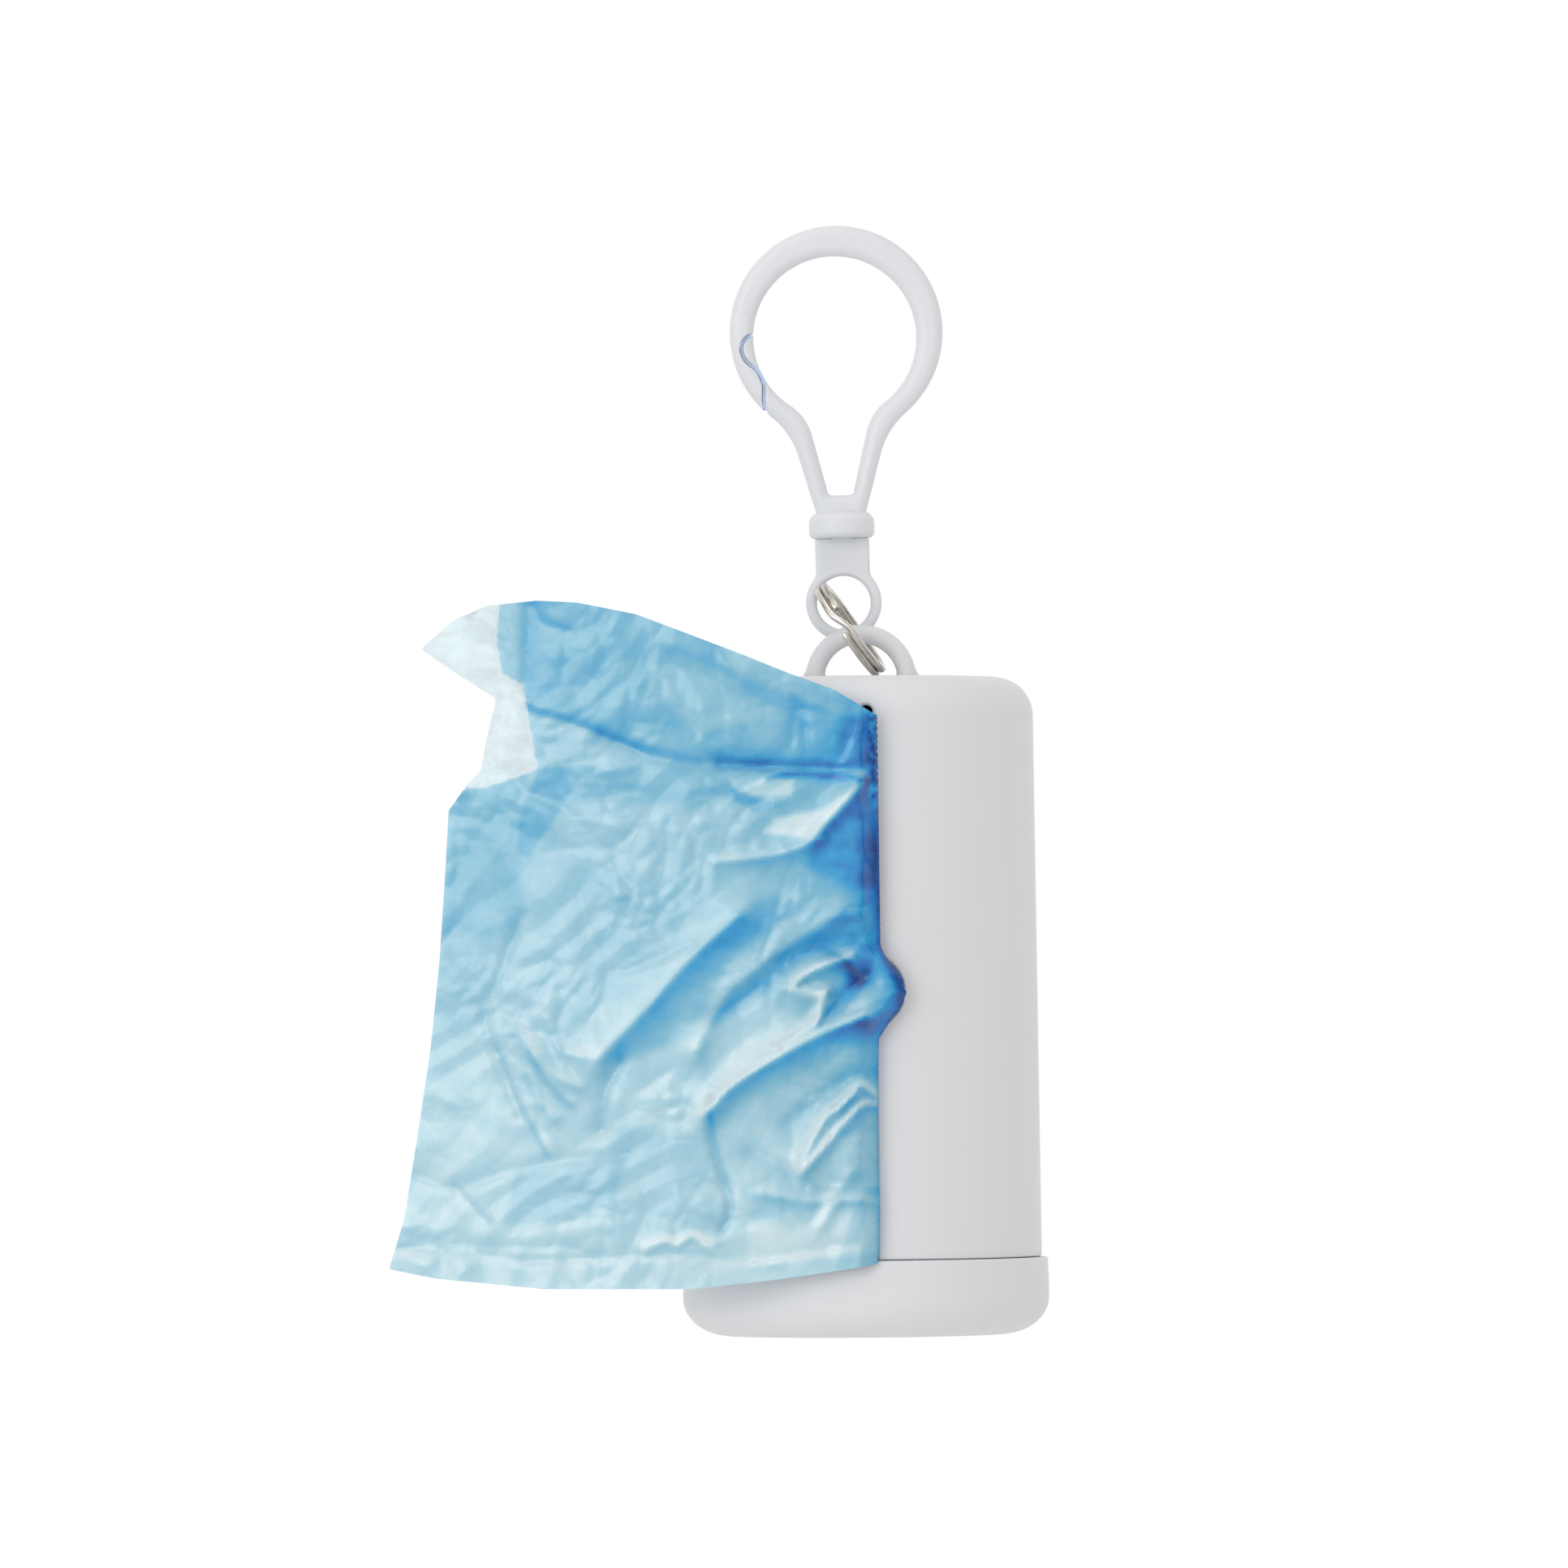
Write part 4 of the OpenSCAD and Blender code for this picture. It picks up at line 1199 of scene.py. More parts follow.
def film(name, crumple, crease_depth, alpha, gloss=0.5):
    """Blue film whose tone and place on the sheet come from the mesh."""
    material = bpy.data.materials.new(name)
    material.use_nodes = True
    tree = material.node_tree
    shader = tree.nodes["Principled BSDF"]
    look = node(tree, "Group", node_tree=CREASED_FILM)
    look.inputs["Crumple"].default_value = crumple
    tree.links.new(node(tree, "Attribute", attribute_name="sheet").outputs["Vector"], look.inputs["Place"])
    tree.links.new(node(tree, "Attribute", attribute_name="tone").outputs["Fac"], look.inputs["Tone"])
    tree.links.new(look.outputs["Color"], shader.inputs["Base Color"])
    tree.links.new(look.outputs["Roughness"], shader.inputs["Roughness"])
    tree.links.new(bump(tree, look.outputs["Height"], crease_depth), shader.inputs["Normal"])
    shader.inputs["Alpha"].default_value = alpha
    shader.inputs["Specular IOR Level"].default_value = gloss
    shader.inputs["Coat Weight"].default_value = gloss
    shader.inputs["Coat Roughness"].default_value = 0.16
    return material


def dress(made, tone, place):
    """Stores the tone of each point, from 0 for one layer to 1 for many, with painted light and shade added in, and its
    place on the sheet.
    """
    made.data.attributes.new("tone", "FLOAT", "POINT").data.foreach_set("value", np.asarray(tone, np.float32))
    flat = made.data.attributes.new("sheet", "FLOAT_VECTOR", "POINT")
    flat.data.foreach_set("vector", (np.asarray(place) * MM).astype(np.float32).ravel())


# %% [markdown]
# The roll itself hides in the casing, apart from what shows through the slot and when the cap
# is off. It is a turned shape, but its layers show on its two ends as fine rings, and the film
# on its outside is never quite smooth. Both are moved in the mesh. The cardboard tube in its
# middle is wound from a strip, so a shallow spiral seam runs round it.

# %% Roll and core tube
ROLL_LOW, ROLL_HIGH = (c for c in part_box("bag_roll"))
ROLL_RADIUS = (ROLL_HIGH.x - ROLL_LOW.x) / 2 / MM
ROLL_BOTTOM = (ROLL_LOW.z - AXIS[2]) / MM
ROLL_TOP = (ROLL_HIGH.z - AXIS[2]) / MM
CORE_LOW, CORE_HIGH = (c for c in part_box("core_tube"))
CORE_RADIUS = (CORE_HIGH.x - CORE_LOW.x) / 2 / MM
CORE_WALL = 1.0
LAYER_RINGS = 18
SEAM_TURNS = 3.2


def roll_mesh(segments=180):
    """Points, faces, tone and sheet places of the wound film."""
    inner = CORE_RADIUS + 0.05
    rings = np.linspace(inner, ROLL_RADIUS - 0.25, LAYER_RINGS * 3)
    ridge = 0.12 * np.abs(np.sin(np.arange(len(rings)) * math.pi / 3))
    low = [(r, ROLL_BOTTOM + d) for r, d in zip(rings, ridge)]
    high = [(r, ROLL_TOP - d) for r, d in zip(rings, ridge)][::-1]
    outside = [(ROLL_RADIUS - 0.03, z) for z in np.linspace(ROLL_BOTTOM + 0.25, ROLL_TOP - 0.25, 70)]
    profile = low + outside + high + [(inner, z) for z in np.linspace(ROLL_TOP, ROLL_BOTTOM, 6)[1:-1]] + low[:1]
    points, faces = revolve(profile, segments)
    points = np.array(points)
    radius = np.hypot(points[:, 0], points[:, 1])
    turn = np.arctan2(points[:, 1], points[:, 0])
    on_outside = radius > ROLL_RADIUS - 0.1
    wave = 0.5 + 0.5 * np.sin(turn * 5 + points[:, 2] * 0.21 + 1.4 * np.sin(points[:, 2] * 0.35))
    sunk = np.where(on_outside, 0.14 * wave ** 3, 0)
    points[:, :2] *= ((radius - sunk) / radius)[:, None]
    # The outside is painted a little deeper where the film sinks: painted shade in its shallow hollows.
    tone = np.where(on_outside, 0.78 + 0.05 * wave, 0.74)
    place = np.stack([turn * radius, np.zeros(len(turn)), points[:, 2] + radius * 3], 1)
    return points, faces, tone, place


def core_mesh(segments=96, levels=60):
    """The cardboard tube, with the seam of its outer strip."""
    span = ROLL_TOP - ROLL_BOTTOM
    outer = [(CORE_RADIUS, ROLL_BOTTOM + z) for z in np.linspace(0.1, span - 0.1, levels)]
    bore = CORE_RADIUS - CORE_WALL
    profile = [(bore + 0.1, ROLL_BOTTOM), (CORE_RADIUS - 0.1, ROLL_BOTTOM)] + outer
    profile += [(CORE_RADIUS - 0.1, ROLL_TOP), (bore + 0.1, ROLL_TOP)]
    profile += [(bore, z) for _, z in outer[::-1]] + [(bore + 0.1, ROLL_BOTTOM)]
    points, faces = revolve(profile, segments)
    points = np.array(points)
    radius = np.hypot(points[:, 0], points[:, 1])
    turn = np.arctan2(points[:, 1], points[:, 0]) / (2 * math.pi)
    phase = (turn + (points[:, 2] - ROLL_BOTTOM) / span * SEAM_TURNS) % 1
    dip = 0.08 * np.exp(-((phase - 0.5) / 0.03) ** 2)
    points[:, :2] *= ((radius - dip * (radius > CORE_RADIUS - 0.05)) / radius)[:, None]
    return points, faces


def cardboard():
    """Grey-brown board with short fibres."""
    material = bpy.data.materials.new("cardboard")
    material.use_nodes = True
    tree = material.node_tree
    shader = tree.nodes["Principled BSDF"]
    place = node(tree, "TexCoord").outputs["Object"]
    fibres = noise_node(tree, place, 1500, detail=6, roughness=0.7)
    patches = noise_node(tree, place, 180, detail=3)
    board = mix_colour(tree, patches.outputs["Fac"], (0.42, 0.31, 0.2, 1), (0.34, 0.25, 0.16, 1))
    speckled = mix_colour(tree, fibres.outputs["Fac"], board, (0.5, 0.4, 0.28, 1))
    tree.links.new(speckled, shader.inputs["Base Color"])
    tree.links.new(bump(tree, fibres.outputs["Fac"], 4e-5), shader.inputs["Normal"])
    shader.inputs["Roughness"].default_value = 0.85
    return material


roll_points, roll_faces, roll_tone, roll_place = roll_mesh()
roll = build("wound_bags", on_axis(roll_points), roll_faces, film("wound_film", 0.7, 3e-5, 1.0), "roll", "bag_roll",
             weld=False, sharp=math.radians(60))
dress(roll, roll_tone, roll_place)
core_points, core_faces = core_mesh()
build("cardboard_core", on_axis(core_points), core_faces, cardboard(), "roll", "core_tube", weld=False)

# %% [markdown]
# The pulled bag is seen almost flat from the front, so it is drawn from the front too: first
# its outline, then its folds, in millimetres across and up. Each fold is a short line with a
# height and a width, as a tailor would mark it: the film stands up along a ridge and sinks
# along a valley, and its two sides carry painted light and painted shade in their tone.
# Cloth simulation would make folds as well, but not these ones. Where folds
# gather at the slot the film lies several layers deep, and there the tone goes up.

# %% Film: outline and folds
FILM_TOP = [(1.0, 70.7), (-3.8, 73.6), (-8.7, 75.4), (-15, 78), (-26, 82.3), (-32.6, 83.7), (-37.3, 84),
            (-42.9, 83.5), (-46.9, 81.8), (-50.4, 78.7)]
FILM_FREE = [(-50.4, 78.7), (-46.6, 76), (-41.9, 72.9)]
FILM_LEFT = [(-41.9, 72.9), (-43.0, 68.5), (-43.7, 64.8), (-45.2, 63.3), (-47.4, 60.3), (-47.9, 52.6), (-48.6, 43),
             (-49.7, 33.1), (-51.3, 23), (-52.8, 14), (-54.6, 8.2)]
FILM_BOTTOM = [(-54.6, 8.2), (-49.1, 7.1), (-37, 5.9), (-20.2, 5.8), (-10, 6.9), (-2, 8.0), (1.0, 8.6)]
SLOT_LIP = [(8.6, 0.9), (14, 1.2), (20, 1.0), (28, 1.05), (34, 1.2), (35.9, 2.5), (37.4, 3.9), (39.3, 4.5),
            (41.3, 3.9), (42.8, 2.5), (44.6, 1.5), (56, 1.45), (63, 1.4), (70.7, 1.3)]
# Where the front layer ends and only the back layer goes on, at the torn end of the bag
FRONT_END = [(-41.3, 85.5), (-41.7, 79.6), (-41.2, 75.9), (-38.8, 74.7), (-38.3, 71.8), (-37.8, 68.5), (-37.1, 64.8),
             (-39.6, 63.9), (-43.0, 62.8), (-49.0, 62.2), (-55, 70), (-55, 86)]
# Each fold: its line with the lit side on the left, rise, widths of both sides, tones of both sides as painted light
# and painted shade
FOLDS = [
    # Creases that run together towards the top of the slot
    ([(-25.6, 66.7), (-28.1, 67.8), (-33.7, 70.1), (-38.4, 71.5)], -0.3, 0.9, 0.45, -0.02, 0.13),
    ([(-33.8, 80.5), (-36.4, 81.5), (-37.6, 83.3)], -0.25, 0.8, 0.4, -0.04, 0.1),
    ([(-29.9, 68.5), (-25.6, 66.7), (-20.8, 65.4), (-16.4, 65.2), (-9.6, 64.7), (-4, 64.3)], -0.5, 0.7, 0.9, 0.1, 0.16),
    ([(-16.4, 65.2), (-9.6, 64.7), (1.0, 64.0)], -0.5, 0.7, 0.8, 0.12, 0.2),
    ([(-11.4, 63.9), (-8.0, 64.3), (-0.4, 63.6)], 0.5, 0.5, 0.5, -0.08, 0.22),
    ([(-6.3, 56.7), (-3.2, 60.1), (-0.4, 63.4)], 0.8, 1.1, 0.8, -0.12, 0.12),
    ([(-17.2, 54.2), (-14.7, 54.3), (-9.6, 55.0), (-5.2, 56.6)], 0.45, 0.5, 0.8, -0.1, 0.08),
    ([(-8.7, 67.1), (-8.0, 72.2)], -0.25, 0.5, 0.35, 0.0, 0.1),
    ([(-6.9, 66.6), (-7.2, 71.3)], -0.25, 0.5, 0.35, 0.0, 0.1),
    ([(-3.0, 66.0), (-1.6, 69.2), (-1.4, 72.0)], -0.3, 0.5, 0.35, -0.05, 0.1),
    ([(-38.4, 75.0), (-38.3, 83.6)], -0.25, 0.8, 1.2, 0.03, 0.09),
    # The long faint crease down the left and the crumpled place below it
    ([(-39.6, 25.6), (-41.2, 30.5), (-43.0, 34.9), (-43.4, 37.0), (-42.9, 38.8), (-39.1, 48.3)], -0.3, 0.6, 0.35, 0, 0.1),
    ([(-36.6, 20.8), (-40.5, 28.5), (-42.1, 32.7)], -0.3, 0.7, 0.35, -0.04, 0.1),
    ([(-39.5, 35.0), (-36.8, 30.2), (-33.9, 27.2)], 0.5, 0.7, 0.9, -0.06, 0.14),
    ([(-38.2, 33.1), (-36.0, 30.2), (-32.8, 28.7)], 0.4, 0.5, 0.7, -0.05, 0.12),
    ([(-38.6, 30.2), (-36.8, 26.9), (-35.5, 25.4)], 0.5, 0.6, 0.9, -0.06, 0.14),
    ([(-39.0, 26.5), (-37.6, 23.5), (-36.5, 21.4)], 0.4, 0.5, 0.9, -0.06, 0.12),
    ([(-36.5, 36.4), (-34.9, 33.1), (-32.5, 32.2)], 0.3, 0.5, 0.5, -0.03, 0.08),
    # The long soft fold across the middle, with its blue valley
    ([(-30.7, 31.8), (-25.5, 37.3), (-19.9, 43.4), (-14.7, 48.0)], 1.1, 2.4, 1.9, -0.1, 0.1),
    ([(-19.5, 33.0), (-16.2, 38.9), (-10.6, 43.6), (-3.1, 48.2)], 0.9, 2.2, 1.3, -0.12, 0.06),
    ([(-27.5, 41.8), (-24.6, 42.9), (-19.9, 44.9)], -0.25, 0.5, 0.4, 0.0, 0.09),
    ([(-30.3, 24.0), (-29.9, 28.4), (-28.3, 31.5)], -0.7, 1.2, 0.5, 0.06, 0.16),
    # The folds that spring from the finger notch
    ([(-17.5, 36.8), (-11.9, 41.0), (-8.5, 43.5), (-4.6, 44.5), (-0.6, 41.0)], -0.9, 1.6, 1.3, 0.06, 0.3),
    ([(-5.5, 39.0), (-8.4, 39.8), (-6.5, 41.7), (-2.1, 43.2)], 1.2, 0.55, 0.6, -0.36, -0.05),
    ([(-5.9, 36.0), (-4.9, 39.1)], 0.8, 0.5, 0.5, -0.36, 0.05),
    ([(-5.1, 36.6), (-0.5, 41.0)], -0.8, 0.9, 1.1, 0.16, 0.3),
    ([(-9.5, 33.4), (-6.0, 35.9), (-4.3, 38.0)], 0.5, 0.5, 0.6, -0.2, 0.02),
    ([(-18.3, 25.8), (-14.9, 29.2), (-5.7, 34.4), (-0.9, 36.4)], 1.7, 0.9, 2.0, -0.2, 0.3),
    ([(-14.5, 31.6), (-10.2, 33.4), (-6.0, 36.0)], 0.5, 0.6, 0.7, -0.1, 0.04),
    # The vertical crease under the big fold and the ridges at the lower part of the slot
    ([(-16.9, 12.5), (-16.0, 15.2), (-17.3, 20.2), (-18.5, 25.6)], -0.5, 0.35, 0.45, 0.03, 0.28),
    ([(-9.5, 24.3), (-3.3, 29.2), (0.4, 30.6)], -0.6, 1.1, 1.4, 0.1, 0.2),
    ([(-7.9, 19.8), (-5.2, 24.8), (-1.6, 27.7)], 1.0, 0.55, 0.8, -0.3, 0.12),
    ([(-7.5, 19.0), (-3.8, 23.3), (-1.0, 26.2), (0.6, 26.4)], 0.9, 0.45, 0.8, -0.26, 0.16),
    ([(-3.5, 26.0), (-1.4, 28.6), (0.5, 27.6)], 0.7, 0.5, 0.6, -0.3, 0.2),
    ([(-13.3, 21.3), (-8.9, 19.1), (-4.8, 17.7), (1.0, 17.3)], -0.6, 0.6, 2.2, -0.06, 0.13),
    ([(-12.0, 16.5), (-5.2, 15.6), (-2.2, 18.8)], 0.4, 0.6, 0.9, -0.08, 0.05),
    ([(-5.6, 12.9), (-3.4, 15.6), (0.6, 15.4)], 0.5, 0.6, 0.6, -0.12, 0.06),
    # Fine lines and the hem at the bottom
    ([(-51.9, 19.1), (-47.1, 17.5), (-40.1, 19.5), (-35.9, 20.4), (-27.3, 21.2)], -0.3, 0.7, 0.4, -0.02, 0.1),
    ([(-43.2, 13.4), (-47.1, 17.5)], -0.2, 0.5, 0.3, 0, 0.08),
    ([(-53.8, 10.8), (-42.0, 9.6), (-38.0, 9.1), (-22.6, 9.8), (-13.8, 9.2), (-1.1, 11.0)], -0.3, 0.6, 0.3, -0.04, 0.08),
    ([(-54.0, 12.0), (-44.0, 10.9), (-33.0, 10.6)], -0.2, 0.5, 0.3, -0.02, 0.06),
    ([(-25.5, 10.3), (-23.4, 11.2), (-22.0, 10.8), (-20.2, 11.7), (-18.4, 10.5)], 0.4, 0.5, 0.4, -0.22, 0.02),
]
# Each patch: its outline, how much it changes the tone and how soft its border is
PATCHES = [
    ([(-16, 78.6), (-8.7, 76.2), (-3.8, 74.2), (1.2, 71.2), (-3, 70.6), (-9, 73), (-15, 75.5)], -0.13, 1.2),
    ([(-13.5, 31.5), (-8, 36), (-12.5, 39), (-18.5, 35), (-18, 30)], -0.08, 1.6),
    ([(-46, 30), (-41.5, 48), (-30, 50), (-31, 42), (-40, 30)], -0.05, 2.4),
    ([(-39.1, 84.6), (-31.7, 84.4), (-18.7, 81.2), (-5.7, 75.8), (1.2, 71.9), (1.2, 64.6), (-9.6, 64.9), (-16.4, 65.5),
      (-20.7, 65.7), (-25.6, 67.0), (-33.7, 70.1), (-38.2, 71.3), (-39.2, 75.9)], 0.13, 1.1),
    ([(-24.3, 76.4), (-19.6, 76.9), (-15.0, 74.5), (-10.4, 71.3), (-12.2, 70.3), (-16.9, 68.9), (-19.2, 68.0),
      (-21.5, 70.8), (-23.8, 74.1)], -0.1, 1.6),
    ([(-14.4, 71.0), (-10.8, 72.0), (-7.9, 69.6), (-8.2, 66.9), (-12.6, 67.2)], -0.06, 0.8),
    ([(-37.1, 64.9), (-31.4, 65.2), (-33.6, 62.2), (-35.8, 58.6), (-38.4, 54.9), (-39.5, 55.3), (-39.5, 58.6),
      (-38.4, 62.2)], 0.17, 0.7),
    ([(-34.7, 61.0), (-31.4, 64.8), (-16.0, 64.8), (-15.1, 61.5), (-22.6, 60.6)], 0.1, 1.4),
    ([(-14.4, 62.2), (-11.8, 63.7), (-8.2, 63.4), (-8.6, 61.5), (-12.6, 61.5)], -0.22, 0.6),
    ([(-15.6, 62.7), (-14.6, 62.1), (-11.8, 61.0), (-9.5, 60.6), (-12.3, 59.6), (-15.1, 61.0)], 0.18, 0.7),
    ([(0.2, 63.6), (-4.9, 60.1), (-10.5, 59.0), (-11.9, 57.3), (-6.3, 56.7), (-3.0, 59.8)], -0.3, 0.8),
    ([(0.2, 63.3), (-3.0, 59.8), (-6.0, 56.7), (-7.2, 53.8), (-5.3, 52.3), (-2.0, 51.2), (1.5, 51.2), (1.6, 56.4)],
     0.14, 1.6),
    ([(-3.6, 69.9), (1.4, 70.6), (1.6, 65.0), (-3.0, 64.8)], 0.1, 1.5),
    ([(-10.5, 50.4), (-8.7, 49.3), (-10.9, 46.0), (-15.3, 43.1), (-17.6, 39.7), (-19.0, 36.8), (-19.8, 34.6),
      (-22.0, 33.5), (-25.8, 32.4), (-27.9, 31.6), (-30.3, 31.8), (-28.6, 34.2), (-25.3, 37.9), (-22.0, 41.2),
      (-18.3, 45.3), (-14.6, 48.6)], 0.16, 1.8),
    ([(0.9, 43.8), (3.4, 39.3), (-1.8, 37.2), (-2.8, 36.8), (0.1, 40.8)], -0.14, 0.35),
    ([(-13.8, 16.9), (-5.9, 16.9), (-5.9, 13.2), (-13.8, 13.2)], 0.13, 2.0),
    ([(-13.8, 13.5), (-6.2, 14.9), (0.4, 15.4), (1.0, 9.8), (-13.9, 8.4)], -0.1, 1.2),
    ([(-40.1, 19.3), (-27.3, 21.1), (-29.2, 15.8), (-34.1, 14.0), (-41.5, 13.2)], 0.13, 1.2),
    ([(-29.0, 24.5), (-18.0, 23.5), (-17.2, 12.0), (-30.0, 12.0)], 0.09, 2.0),
    ([(-34.7, 59.2), (-24.4, 60.1), (-15.1, 59.6), (-12.4, 56.4), (-15.2, 53.1), (-24.5, 52.6), (-33.8, 54.5)], -0.06, 2.2),
    ([(-46.9, 64.0), (-39.0, 64.0), (-39.4, 46.0), (-48.5, 46.0)], 0.09, 1.6),
]

# %% Film: how high it stands and how deep its colour is
FILM_BASE = -22.0
FILM_CURVE = 150
PLY_GAP = 0.45
PALE = 0.37
LOW_PALER = 0.17
CRUMPLES = [(24, 9.5, 0.4), (78, 6.8, 0.3), (131, 4.4, 0.18)]
FACETS = [(5.2, 0.55), (2.3, 0.2)]
CREST = 0.28
# Without a seed, noise_vector starts from the clock and each run gives another film
NOISE_SEED = 1
noise.seed_set(NOISE_SEED)


def slot_side(z):
    """How far right of the axis the film's fold at the slot lies at a height."""
    lip = np.array(SLOT_LIP)
    return np.interp(z, lip[:, 0], lip[:, 1])


def smooth_step(t):
    """0 below 0, 1 above 1 and an easy curve between."""
    t = np.clip(t, 0, 1)
    return t * t * (3 - 2 * t)


def beside(points, path):
    """Distance to a line, and how far to its left, from -1 to 1, each point lies."""
    best = np.full(len(points), 1e9)
    side = np.zeros(len(points))
    for a, b in zip(path[:-1], path[1:]):
        along = b - a
        t = np.clip(((points - a) @ along) / (along @ along), 0, 1)
        gap = points - (a + t[:, None] * along)
        d = np.linalg.norm(gap, axis=1)
        closer = d < best
        best[closer] = d[closer]
        left = np.array([-along[1], along[0]]) / np.linalg.norm(along)
        side[closer] = (gap[closer] @ left) / np.maximum(d[closer], 1e-6)
    return best, side


def within(points, line, reach):
    """Which points lie in a line's box, widened by a reach."""
    low, high = np.min(line, 0) - reach, np.max(line, 0) + reach
    return np.flatnonzero(((points > low) & (points < high)).all(1))


def crumple(points):
    """Flat facets with crisp creases between them: triangle waves whose lines wander."""
    bend = np.array([noise.noise_vector(Vector((x * 0.07, z * 0.07, 3.1))) for x, z in points])[:, :2] * 5
    patch = np.array([noise.noise(Vector((x * 0.11, z * 0.11, 8.7))) for x, z in points])
    wander = points + bend
    height = np.zeros(len(points))
    for turn, wave, rise in CRUMPLES:
        across = np.array([math.cos(math.radians(turn)), math.sin(math.radians(turn))])
        phase = wander @ across / wave
        triangle = 2 * np.abs(phase - np.floor(phase + 0.5))
        height += rise * triangle * smooth_step(0.5 + 1.6 * patch * math.cos(turn))
    for cell, rise in FACETS:
        spots = [noise.voronoi(Vector((x / cell, z / cell, cell)))[0] for x, z in wander]
        gap = np.array([spot[1] - spot[0] for spot in spots])
        height += rise * smooth_step(0.6 - 1.3 * patch) * gap
    return height


def fold_shape(points):
    """Height and tone that the listed folds and patches give to flat points; the folds' tones are painted light on
    their lit sides and painted shade on their dark sides.
    """
    height = np.zeros(len(points))
    tone = np.zeros(len(points))
    for line, rise, lit_width, dark_width, painted_lit_tone, painted_shade_tone in FOLDS:
        near = within(points, line, 5 * max(lit_width, dark_width))
        d, side = beside(points[near], smooth_line(line))
        lit = 0.5 + 0.5 * side * np.tanh(d / CREST)
        d = np.sqrt(d ** 2 + CREST ** 2) - CREST
        width = lit_width * lit + dark_width * (1 - lit)
        height[near] += rise * np.exp(-(d / width) ** 1.25)
        tone[near] += (painted_lit_tone * lit + painted_shade_tone * (1 - lit)) * np.exp(-(d / width) ** 1.6)
    for outline, change, soft in PATCHES:
        near = within(points, outline, soft)
        loop = np.array(outline, float)
        d = nearest(points[near], np.concatenate([loop, loop[:1]]))[0]
        signed = np.where(inside(points[near], loop), d, -d)
        tone[near] += change * smooth_step(signed / soft + 0.5)
    return height, tone


def smooth_line(line):
    """A fold's line as a smooth curve through its points."""
    if len(line) < 3:
        return np.array(line, float)
    p = np.array(line, float)
    return smooth_path(np.concatenate([2 * p[:1] - p[1:2], p, 2 * p[-1:] - p[-2:-1]]), 4)


def film_height(points):
    """Height of the film over its curved base, level where it folds over at the slot."""
    run = slot_side(points[:, 1]) - points[:, 0]
    free = smooth_step((run - 0.3) / 2.4)
    return (crumple(points) + fold_shape(points)[0]) * free + 0.25


def film_tone(points, single):
    """Tone of the film, with painted light and shade from the slope of its folds and over the notch. single is 1 where
    only one layer is left.
    """
    run = slot_side(points[:, 1]) - points[:, 0]
    z = points[:, 1]
    step = 0.15
    # Film that tilts towards a light from the upper left is painted paler and film that tilts away is painted deeper:
    # painted light and painted shade.
    east = film_height(points + (step, 0)) - film_height(points - (step, 0))
    north = film_height(points + (0, step)) - film_height(points - (0, step))
    tilt = (0.45 * east - 0.8 * north) / (2 * step)
    tone = PALE + fold_shape(points)[1] - 0.15 * np.tanh(tilt * 2.2)
    tone -= LOW_PALER * smooth_step((46 - z) / 26) * smooth_step((run + 1) / 8)
    tone += 0.2 * np.exp(-((z - 51) / 9) ** 2) * np.exp(-np.maximum(run, 0) / 6)
    upper = 0.3 + 0.7 * smooth_step((z - 27) / 16)
    tone += 0.3 * upper * np.exp(-np.maximum(run, 0) / 7)
    tone += 0.2 * np.exp(-(np.maximum(run, 0) / 0.42) ** 2)
    # Over the finger notch the film is much deeper: partly more layers, partly painted shade of the dark hollow behind
    # it.
    at_notch = np.exp(-((z - 39.4) / 3.9) ** 2) * np.exp(-np.maximum(run, 0) / 2.9)
    tone += 0.46 * at_notch
    crinkle = np.array([noise.noise(Vector((x * 2.2, z * 1.5, 1.3))) for x, y_unused, z in
                        np.column_stack([points[:, 0], z, z])])
    tone += crinkle * 0.4 * np.exp(-(np.maximum(run - 0.5, 0) / 0.8) ** 2) * smooth_step((z - 58) / 6)
    tone -= 0.17 * single
    return np.where(single > 0.5, 0.3 * (np.clip(tone, 0.07, 0.4) - 0.07), np.clip(tone, 0.07, 0.97))


# %% Film: the sheet
FILM_STEP = 0.42
BACK_STEP = 0.6
LEAD_RUN = 6.4
LEAD_X = 0.35
ROLL_FACE = 15.72


def film_flat(outline, step, cut=None):
    """A flat mesh inside an outline, with the part inside the cut left out."""
    outline = closed(outline, step)
    low, high = outline.min(0), outline.max(0)
    rows = np.arange(low[1], high[1], step * 0.866)
    grid = []
    for n, z in enumerate(rows):
        x = np.arange(low[0] + step * 0.5 * (n % 2), high[0], step)
        grid.append(np.stack([x, np.full(len(x), z)], 1))
    grid = np.concatenate(grid)
    grid = grid[inside(grid, outline[:-1]) & (nearest(grid, outline)[0] > step * 0.45)]
    lines = [outline]
    if cut is not None:
        edge = closed(np.array(cut, float), step)
        lines.append(edge)
    links = []
    count = 0
    for line in lines:
        links += [(count + i, count + i + 1) for i in range(len(line) - 1)]
        count += len(line)
        grid = grid[nearest(grid, line)[0] > step * 0.4]
    points = np.concatenate(lines + [grid])
    found = delaunay_2d_cdt([Vector(p) for p in points], links, [], 0, 1e-5, True)
    flat = np.array([tuple(p) for p in found[0]])
    middle = np.array([flat[list(f)].mean(0) for f in found[2]])
    keep = inside(middle, outline[:-1])
    if cut is not None:
        keep &= ~inside(middle, edge[:-1])
    faces = [tuple(f) for f, kept in zip(found[2], keep) if kept]
    used = sorted({i for f in faces for i in f})
    index = {old: new for new, old in enumerate(used)}
    return flat[used], [tuple(index[i] for i in f) for f in faces]


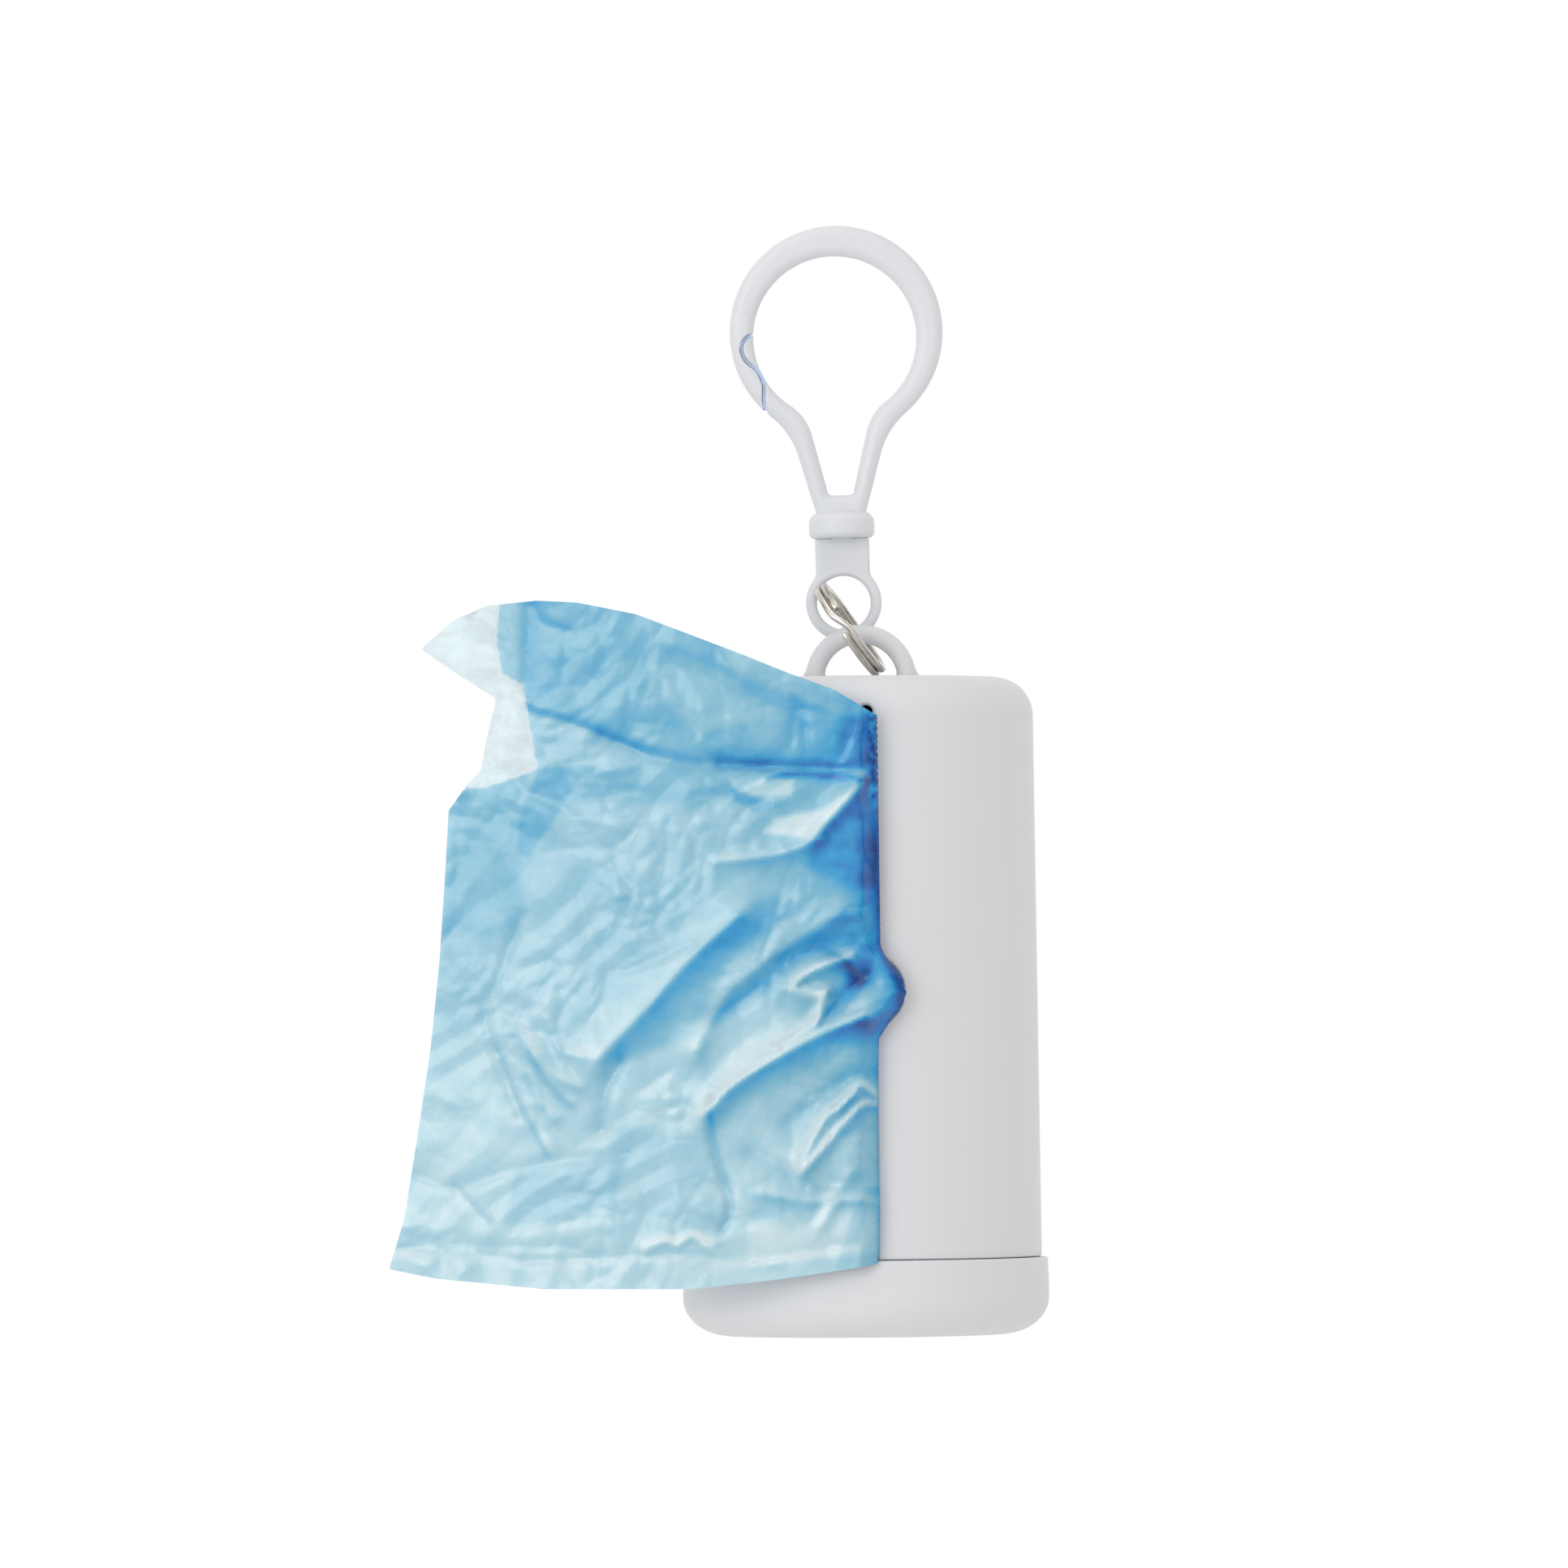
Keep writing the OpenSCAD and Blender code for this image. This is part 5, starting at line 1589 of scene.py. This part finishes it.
def film_outline():
    """The bag's outline in flat places: run from the slot's fold instead of across."""
    front = FILM_BOTTOM[::-1] + [(x, z) for x, z in FILM_LEFT[::-1]][1:] + FILM_FREE[::-1][1:] + FILM_TOP[::-1][1:]
    lead = [(LEAD_RUN, 70.7), (LEAD_RUN, 8.8)]
    path = [(x, z) for x, z in front]
    return np.array(path + [(slot_side(z) + s, z) for s, z in lead])


def film_place(flat, behind):
    """Where flat points of a layer lie: over the casing, round the fold and in through the slot."""
    x, z = flat[:, 0], flat[:, 1]
    lip = slot_side(z)
    run = lip - x
    over = smooth_step((run + 1.2) / 1.4)
    across = LEAD_X * (1 - over) + lip * over - np.maximum(run, 0)
    base = FILM_BASE + FILM_CURVE - np.sqrt(FILM_CURVE ** 2 - np.minimum(across, 0) ** 2)
    height = film_height(flat) + 0.35
    lead = np.interp(run, [-LEAD_RUN, -1.0, 0, 0.9, 2.2], [ROLL_FACE, 20.9, 21.5, 21.95, 22.1])
    outer = smooth_step((run - 0.6) / 1.8)
    depth = -lead * (1 - outer) + (base - height) * outer + behind * smooth_step((run - 0.2) / 1.6)
    into = smooth_step(-run / LEAD_RUN)
    narrow = 9 + (z - 9) * (ROLL_TOP - 9.5) / (70.7 - 9)
    return np.column_stack([across, depth, z * (1 - into) + narrow * into])


def film_layer(name, behind, step, cut, single, material, stands_for):
    """One layer of the pulled bag as an object."""
    flat, faces = film_flat(film_outline(), step, cut)
    lone = single(flat)
    tone = film_tone(flat, lone)
    made = build(name, on_axis(film_place(flat, behind)), faces, material, None, stands_for, weld=False,
                 sharp=math.radians(80))
    dress(made, tone, np.column_stack([flat[:, 0], np.full(len(flat), behind), flat[:, 1]]))
    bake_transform(made)
    return made


def lone_layer(flat):
    """1 where the front layer has ended, with a short soft step."""
    loop = np.array(FRONT_END, float)
    d = nearest(flat, np.concatenate([loop, loop[:1]]))[0]
    return smooth_step(np.where(inside(flat, loop), d, -d) / 0.3 + 0.5)


bag_film = film("bag_film", 1.0, 1.6e-4, 0.92, 0.5)
front_layer = film_layer("bag_front_layer", 0.0, FILM_STEP, FRONT_END, lambda p: np.zeros(len(p)), bag_film, "pulled_bag")
back_layer = film_layer("bag_back_layer", PLY_GAP, BACK_STEP, None, lone_layer, bag_film, None)
